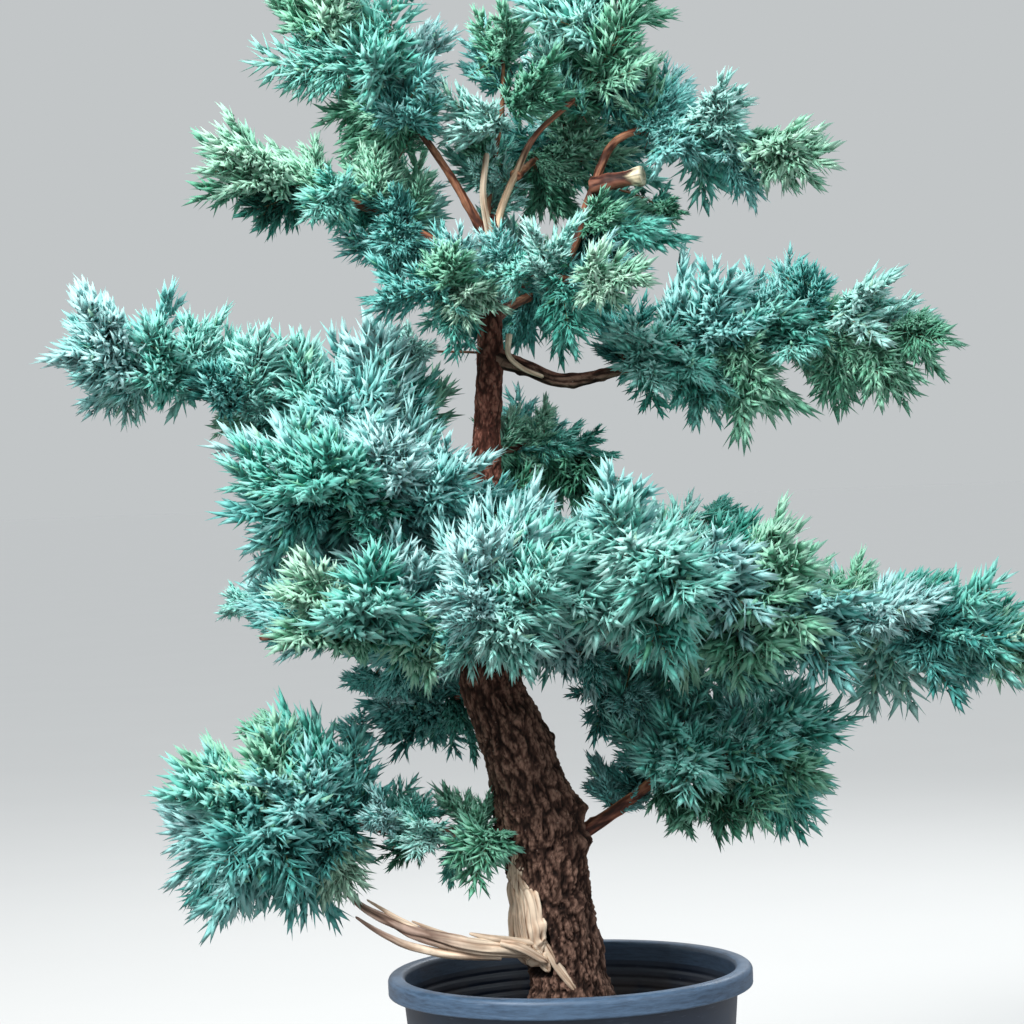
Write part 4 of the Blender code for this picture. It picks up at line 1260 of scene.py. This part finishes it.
frond = {
    "length": 0.088,
    "shoots": 9,
    "shootLength": 0.039,
    "stem": 0.0019,
    "forms": 6,
    # copies of each frond from dark to pale, which carry painted light and shade as well as random tone
    "tones": 6,
    "greenness": {"teal": 0.10, "ice": 0.04, "green": 0.60},  # share of young green needles
    "bends": (-0.30, -0.12, 0.05, 0.16, 0.28, 0.42),  # how far the end of each form rises, as a share of its length
}
canopy = {
    "perArea": 165.0,  # tufts on a square metre of a lobe's outside
    "tuft": 7,  # fronds in a tuft
    "fan": 0.027,  # how far apart the ends of a tuft's fronds are
    "reach": 0.98,  # how far the ends reach, as a share of the lobe
    "shortest": 0.046,
    "longest": 0.100,
    "greenAbove": 0.24,
    "iceBelow": -0.12,
    "ragged": 0.24,  # how unevenly the tufts reach out
    "bows": (0.001, 0.004, 0.007),
}
# the lightness is painted light and shade: pads at the front and outside are lighter, those at the back, underneath
# and inside darker
padMood = {  # lift of the ends, lightness, density where it isn't 1
    "foliage_low_left": (-0.05, 0.05, 1.15),
    "foliage_low_left_inner": (-0.25, -0.05, 1.2),
    "foliage_low_right": (-0.20, -0.12, 1.0),
    "foliage_front_low": (0.10, 0.10, 1.1),
    "foliage_right_front": (-0.05, 0.08, 1.1),
    "foliage_right_middle": (-0.05, 0.05, 1.05),
    "foliage_right_tip": (-0.22, 0.02, 1.05),
    "foliage_left_lower": (0.05, 0.08, 1.1),
    "foliage_left_middle": (0.10, 0.10, 1.1),
    "foliage_left_upper": (0.10, 0.00, 1.05),
    "foliage_left_tip": (0.16, 0.08, 1.1),
    "foliage_right_upper": (-0.05, 0.00, 1.0),
    "foliage_right_upper_tip": (-0.08, 0.02, 1.0),
    "foliage_crown_front": (0.00, 0.08, 1.1),
    "foliage_crown_front_left": (0.10, 0.00, 1.0),
    "foliage_crown_under": (0.00, -0.10, 0.9),
    "foliage_crown_left_low": (0.05, 0.00, 1.0),
    "foliage_crown_left": (0.35, 0.02, 1.0),
    "foliage_crown_middle": (0.35, 0.00, 0.9),
    "foliage_crown_top": (0.30, 0.05, 1.0),
    "foliage_crown_right": (-0.06, 0.05, 1.05),
    "foliage_back_low_left": (-0.10, -0.15, 0.9),
    "foliage_back_low": (0.00, -0.05, 0.95),
    "foliage_back_right": (-0.05, -0.05, 0.95),
    "foliage_back_left": (0.05, -0.02, 0.95),
    "foliage_back_middle": (0.00, -0.15, 0.9),
    "foliage_back_upper": (0.10, -0.02, 0.95),
    "foliage_crown_back": (0.20, 0.00, 0.95),
}
# colours from dark to pale by tone; as the tones carry painted light and shade, the dark stops stand for painted
# shade and the pale ones partly for painted light
leafColours = {
    "teal": (
        (0.00, (0.008, 0.078, 0.056)), (0.20, (0.046, 0.322, 0.256)), (0.42, (0.145, 0.590, 0.500)),
        (0.66, (0.300, 0.730, 0.658)), (1.00, (0.510, 0.850, 0.806)),
    ),
    "ice": (
        (0.00, (0.008, 0.070, 0.061)), (0.20, (0.048, 0.298, 0.272)), (0.42, (0.155, 0.562, 0.530)),
        (0.66, (0.325, 0.712, 0.700)), (1.00, (0.540, 0.846, 0.858)),
    ),
    "green": (
        (0.00, (0.014, 0.092, 0.049)), (0.24, (0.078, 0.350, 0.216)), (0.54, (0.265, 0.630, 0.450)),
        (1.00, (0.540, 0.830, 0.665)),
    ),
}
leafMap = {  # where each kind's colours lie across the map. The twigs have the part left of them
    "twig": (0.00, 0.09),
    "teal": (0.11, 0.39),
    "ice": (0.41, 0.69),
    "green": (0.71, 0.99),
}


def toneSpot(tone, kind):
    start, end = leafMap[kind]
    return start + 0.004 + (end - start - 0.008) * clamp(tone)


def addNeedle(build, spots, foot, heading, shoot, length, width, tone, kind):
    inward = (shoot - heading * shoot.dot(heading)).normalized()
    across = heading.cross(inward)
    frameOf = Matrix((across, -inward, heading)).transposed().to_4x4()
    size = Matrix.Diagonal((width * 0.58, needle["thickness"] * 0.66, length, 1.0))
    place = Matrix.Translation(foot) @ frameOf @ size @ Matrix.Translation((0.0, 0.0, 0.5))
    verts = bmesh.ops.create_cone(
        build, cap_ends=True, segments=3, radius1=1.0, radius2=0.0, depth=1.0, matrix=place,
    )["verts"]
    tip = verts[3]
    bloom, keel = toneSpot(tone, kind), toneSpot(tone - 0.13, kind)
    for face in {face for vert in verts for face in vert.link_faces}:
        spot = bloom if face.normal.dot(inward) > 0.5 else keel
        points = face.verts[:]
        if tip in points:
            feet = [vert for vert in points if vert is not tip]
            sides = {tip: (spot, 0.98), feet[0]: (spot - 0.003, 0.02), feet[1]: (spot + 0.003, 0.02)}
        else:
            sides = dict(zip(points, ((spot, 0.0), (spot + 0.003, 0.0), (spot, 0.03))))
        for loop in face.loops:
            loop[spots].uv = sides[loop.vert]


def growTwig(build, spots, points, thick, thin, sides=4):
    # a thin stalk through the points, whose colours lie in the map's left part
    heading = (points[1] - points[0]).normalized()
    turn = heading.to_track_quat("Z", "Y")
    frames = []
    for index, point in enumerate(points):
        new = (points[min(index + 1, len(points) - 1)] - points[max(index - 1, 0)]).normalized()
        turn = heading.rotation_difference(new) @ turn
        heading = new
        radius = (thick + (thin - thick) * index / (len(points) - 1)) / 2
        size = Matrix.Diagonal((radius, radius, radius, 1.0))
        frames.append(Matrix.Translation(point) @ turn.to_matrix().to_4x4() @ size)
    ring = bmesh.ops.create_circle(build, segments=sides, radius=1.0, matrix=frames[0])["verts"]
    first = ring
    rank = {vert: 0 for vert in ring}
    edges = list({edge for vert in ring for edge in vert.link_edges})
    faces = []
    for index, (before, after) in enumerate(zip(frames, frames[1:]), 1):
        grown = bmesh.ops.extrude_edge_only(build, edges=edges)["geom"]
        ring = [part for part in grown if isinstance(part, bmesh.types.BMVert)]
        faces += [part for part in grown if isinstance(part, bmesh.types.BMFace)]
        edges = [part for part in grown if isinstance(part, bmesh.types.BMEdge)]
        bmesh.ops.transform(build, matrix=after @ before.inverted(), verts=ring)
        rank.update((vert, index) for vert in ring)
    for end in (first, ring):
        rim = {edge for vert in end for edge in vert.link_edges if edge.is_boundary}
        faces += bmesh.ops.contextual_create(build, geom=list(rim))["faces"]
    bmesh.ops.recalc_face_normals(build, faces=faces)
    wide = leafMap["twig"][1] * 0.9
    for face in faces:
        for corner, loop in enumerate(face.loops):
            across = wide * (0.15 + 0.7 * (corner in (1, 2)))
            loop[spots].uv = (across, 0.02 + 0.96 * rank[loop.vert] / (len(points) - 1))


def growShoot(build, spots, foot, heading, normal, length, tone, kind, greenness, rng):
    # one short shoot with its needles in a spiral, closing to a point
    lean = normal * rng.uniform(-0.10, 0.16)
    points = [foot + (heading + lean * t) * length * 0.86 * t for t in (0.0, 0.5, 1.0)]
    growTwig(build, spots, points, 0.0012, 0.0006, 3)
    count = max(6, round(length / needle["spacing"]))
    side = heading.cross(normal).normalized()
    offset = rng.uniform(0.0, 360.0)
    for number in range(count):
        t = (number + 0.6) / count
        place = foot + (heading + lean * t) * length * 0.86 * t
        turn = math.radians(offset + needle["spiral"] * number + rng.uniform(-14, 14))
        out = side * math.cos(turn) + normal * math.sin(turn) * 0.52
        spread = needle["spreadAtFoot"] + (needle["spreadAtTip"] - needle["spreadAtFoot"]) * t**0.8
        spread = math.radians(spread + rng.uniform(-7, 7))
        aim = (heading * math.cos(spread) + out * math.sin(spread)).normalized()
        long = needle["length"] * (0.72 + 0.42 * math.sin(math.pi * min(1.0, 0.25 + 0.62 * t)))
        long *= rng.uniform(0.85, 1.15)
        shade = tone + 0.13 * (t - 0.45) + rng.uniform(-0.05, 0.05)
        own = "green" if rng.random() < greenness * (1.25 - t) else kind
        wide = needle["width"] * rng.uniform(0.80, 1.20)
        addNeedle(build, spots, place, aim, heading, long, wide, shade, own)


def makeFrond(form, tone, kind):
    # a feathery spray: a bowed stem with shoots to both sides and one at its end. It starts at the
    # origin and runs along +X, nearly flat, facing +Z
    rng = random.Random(500 + form)
    build = bmesh.new()
    spots = build.loops.layers.uv.new("OFBake")
    length = frond["length"]
    stemLength = length * 0.68
    rise = frond["bends"][form] * length
    sway = rng.uniform(-0.10, 0.10) * length
    base = 0.10 + 0.80 * tone / (frond["tones"] - 1)
    greenness = frond["greenness"][kind]

    def along(t):
        return Vector((stemLength * t, sway * t * t, rise * t * t))

    def heading(t):
        return Vector((stemLength, 2 * sway * t, 2 * rise * t)).normalized()

    growTwig(build, spots, [along(step / 5) for step in range(6)], frond["stem"], 0.0011, 4)
    for number in range(frond["shoots"]):
        t = 0.20 + 0.76 * number / (frond["shoots"] - 1) + rng.uniform(-0.02, 0.02)
        ahead = heading(t)
        normal = ahead.cross(Vector((0, 1, 0))).normalized() * -1.0
        sideways = 1 if number % 2 else -1
        spread = math.radians((56.0 - 22.0 * t + rng.uniform(-8, 8)) * sideways)
        tilt = rng.uniform(-0.34, 0.34)
        aim = ahead * math.cos(spread) + normal.cross(ahead) * math.sin(spread)
        aim = (aim + normal * tilt).normalized()
        size = frond["shootLength"] * (1.08 - 0.42 * t) * rng.uniform(0.85, 1.12)
        shade = base + 0.10 * (t - 0.5) + rng.uniform(-0.05, 0.05)
        growShoot(build, spots, along(t), aim, normal, size, shade, kind, greenness * (1.1 - t), rng)
    last = heading(1.0)
    normal = last.cross(Vector((0, 1, 0))).normalized() * -1.0
    growShoot(build, spots, along(0.98), last, normal, length * 0.33, base + 0.10, kind, 0.0, rng)
    for number in range(12):  # needles on the stem itself
        t = 0.22 + 0.74 * number / 11
        turn = math.radians(needle["spiral"] * number)
        ahead = heading(t)
        out = Vector((0, 1, 0)) * math.cos(turn) + normal * math.sin(turn)
        aim = (ahead * 0.62 + out * 0.78).normalized()
        own = "green" if rng.random() < greenness + 0.15 else kind
        addNeedle(build, spots, along(t), aim, ahead, needle["length"] * 0.85, needle["width"], base - 0.02, own)
    mesh = bpy.data.meshes.new("frond")
    build.to_mesh(mesh)
    build.free()
    mesh.shade_smooth()
    return mesh


def makeLeafFinish():
    material, tree, shader = startMaterial("foliage", {"specular": 0.35})
    spot = addNode(tree, "ShaderNodeUVMap", uv_map="OFBake").outputs["UV"]
    split = addNode(tree, "ShaderNodeSeparateXYZ", {0: spot}).outputs
    stops = []
    for kind, colours in leafColours.items():
        start, end = leafMap[kind]
        stops += [(start + (end - start) * place, colour) for place, colour in colours]
    flesh = colourRamp(tree, split[0], stops)
    # painted shade: each needle is painted darker towards its foot, where needles crowd on the shoot
    hollowShade = valueRamp(tree, split[1], 0.0, 0.40, 0.56, 1.0)
    flesh = mixColour(tree, 1.0, flesh, addNode(tree, "ShaderNodeCombineXYZ", {
        0: hollowShade, 1: hollowShade, 2: hollowShade,
    }).outputs[0], "MULTIPLY")
    frosted = mixColour(tree, 0.50, flesh, (0.46, 0.87, 0.81))
    flesh = mixColour(tree, valueRamp(tree, split[1], 0.45, 1.0, 0.0, 0.50), flesh, frosted)
    twig = colourRamp(tree, split[1], (
        (0.0, (0.105, 0.048, 0.030)), (0.45, (0.165, 0.074, 0.040)), (0.8, (0.160, 0.120, 0.055)), (1.0, (0.110, 0.170, 0.090)),
    ))
    isTwig = maths(tree, "LESS_THAN", split[0], leafMap["twig"][1])
    colour = mixColour(tree, isTwig, flesh, twig)
    tree.links.new(colour, shader.inputs["Base Color"])
    tree.links.new(valueRamp(tree, split[1], 0.0, 1.0, 0.66, 0.50), shader.inputs["Roughness"])
    return material


def woodPoints():
    # places along every limb, for the twigs to start from
    places = [point for point, _ in smoothRoute(trunkStations(), 0.006) if point.z > rimLevel + 0.10]
    for _, thick, thin, points in branches.values():
        places += [point for point, _ in smoothRoute(growRoute(thick, thin, points), 0.006)]
    return places


def nearestWood(places, spot, heading):
    # the nearest place that lies behind the frond's foot
    return min(places, key=lambda place: (place - spot).length + 0.8 * max(0.0, (place - spot).dot(heading)))


def facingFrame(foot, aim, normal):
    normal = (normal - aim * normal.dot(aim)).normalized()
    return Matrix.Translation(foot) @ Matrix((aim, normal.cross(aim), normal)).transposed().to_4x4()


def makeTwigForm(bow):
    # a bowed twig of unit length along +X. Its own thickness is in metres
    build = bmesh.new()
    spots = build.loops.layers.uv.new("OFBake")
    points = [Vector((t, 0.0, 4.0 * bow * t * (1.0 - t))) for t in (0.0, 0.25, 0.5, 0.75, 1.0)]
    growTwig(build, spots, points, 1.25 * frond["stem"], 0.9 * frond["stem"], 5)
    mesh = bpy.data.meshes.new("twig")
    build.to_mesh(mesh)
    build.free()
    mesh.shade_smooth()
    return mesh


def makeLobe(number, lobe, mood, forms, twigs, places, rng):
    # tufts of fronds all over a long ball, each tuft fanning out from one foot on the wood or on a twig
    root, tip, width, height = lobe
    lift, light, density = mood
    root, tip = overRim(root), overRim(tip)
    centre = (root + tip) / 2
    along = (tip - root).normalized()
    side = along.cross(upward).normalized()
    above = side.cross(along).normalized()
    axes = Matrix((along, side, above)).transposed()
    half = Vector(((tip - root).length / 2, width / 2, height / 2))
    a, b, c = (part**1.6 for part in half)
    area = 4 * math.pi * ((a * b + a * c + b * c) / 3) ** (1 / 1.6)
    count = max(4, round(area * canopy["perArea"] * density))
    small = clamp(min(half.y, half.z) / 0.042, 0.45, 1.0)  # a slight lobe has shorter fronds
    longest = canopy["longest"] * (0.5 + 0.5 * small)
    shortest = canopy["shortest"] * (0.5 + 0.5 * small)
    parts = []
    for index in range(count):
        x = 1.0 - 1.86 * (index + 0.5) / count
        turn = index * 2.39996 + rng.uniform(-0.35, 0.35)
        ring = math.sqrt(1.0 - x * x)
        ball = Vector((x, ring * math.cos(turn), ring * math.sin(turn)))
        uneven = canopy["ragged"] * noise.noise(ball * 2.6 + Vector((number * 3.1, 0, 0))) + rng.uniform(-0.16, 0.08)
        spread = Vector([part * size for part, size in zip(ball, half)]) * (canopy["reach"] + uneven)
        middle = centre + axes @ spread
        inner = Vector((clamp(ball.x * 0.66 - 0.30, -1.0, 0.75) * half.x, spread.y * 0.22, spread.z * 0.16))
        foot = centre + axes @ inner
        aim = (middle - foot).normalized()
        wood = nearestWood(places, foot, aim)
        if (middle - wood).length < longest:
            foot = wood
        else:
            foot = middle - aim * min((middle - foot).length, longest * 0.86)
            gap = foot - wood
            bow = facingFrame(wood, gap.normalized(), upward + side * rng.uniform(-0.5, 0.5))
            parts.append(placePart(rng.choice(twigs), bow @ Matrix.Diagonal((gap.length, 1.0, 1.0, 1.0))))
        outward = side * ball.y + above * ball.z
        # painted shade: tufts that reach out less are painted darker, on top of random patches of tone
        patchAndDepthShade = 0.46 * noise.noise(middle * 17.0 + Vector((0, 0, 4.0))) + rng.uniform(-0.14, 0.14) + 1.2 * uneven
        mix = noise.noise(middle * 9.0 + Vector((7.0, 0, 0))) + rng.uniform(-0.22, 0.22)
        kind = "green" if mix > canopy["greenAbove"] else "ice" if mix < canopy["iceBelow"] else "teal"
        for _ in range(canopy["tuft"]):
            end = middle + Vector([rng.uniform(-1, 1) for _ in range(3)]) * canopy["fan"] * small
            whole = end - foot
            size = clamp(whole.length, shortest, longest)
            aim = whole.normalized()
            normal = upward * 0.70 + outward * 0.60 + Vector([rng.uniform(-0.45, 0.45) for _ in range(3)])
            wanted = lift + rng.uniform(-0.22, 0.22)
            form = min(range(frond["forms"]), key=lambda option: abs(frond["bends"][option] - wanted))
            # painted light and shade: tufts on top of a lobe are painted lighter, those underneath darker, and light
            # adds each pad's own painted light or shade
            tone = 0.61 + light + 0.16 * ball.z + patchAndDepthShade + rng.uniform(-0.12, 0.12)
            tone = round(clamp(tone) * (frond["tones"] - 1))
            place = facingFrame(end - aim * size, aim, normal) @ Matrix.Scale(size / frond["length"], 4)
            parts.append(placePart(forms[kind][form][tone], place))
    return parts


def makeFoliage():
    forms = {
        kind: [[makeFrond(form, tone, kind) for tone in range(frond["tones"])] for form in range(frond["forms"])]
        for kind in leafColours
    }
    twigs = [makeTwigForm(bow) for bow in canopy["bows"]]
    places = woodPoints()
    material = makeLeafFinish()
    total = 0
    for number, node in enumerate(pads):
        rng = random.Random(40 + number)
        base = bmesh.new()
        base.loops.layers.uv.new("OFBake")
        parts = []
        for lobe in pads[node]:
            parts += makeLobe(number, lobe, padMood[node], forms, twigs, places, rng)
        piece = addPiece(node, base, material)
        joinParts(piece, parts, material)
        total += len(piece.data.loop_triangles)
    for mesh in sum((row for rows in forms.values() for row in rows), twigs):
        bpy.data.meshes.remove(mesh)
    return total


makePot()
print("pot ready")
makeSoil()
print("soil ready")
makeTrunk()
makeStrip()
makeLowJin()
print("trunk and dead wood ready")
makeBranches()
print("branches ready")
print("foliage ready:", makeFoliage(), "fronds")

bpy.context.scene.view_settings.view_transform = "Standard"
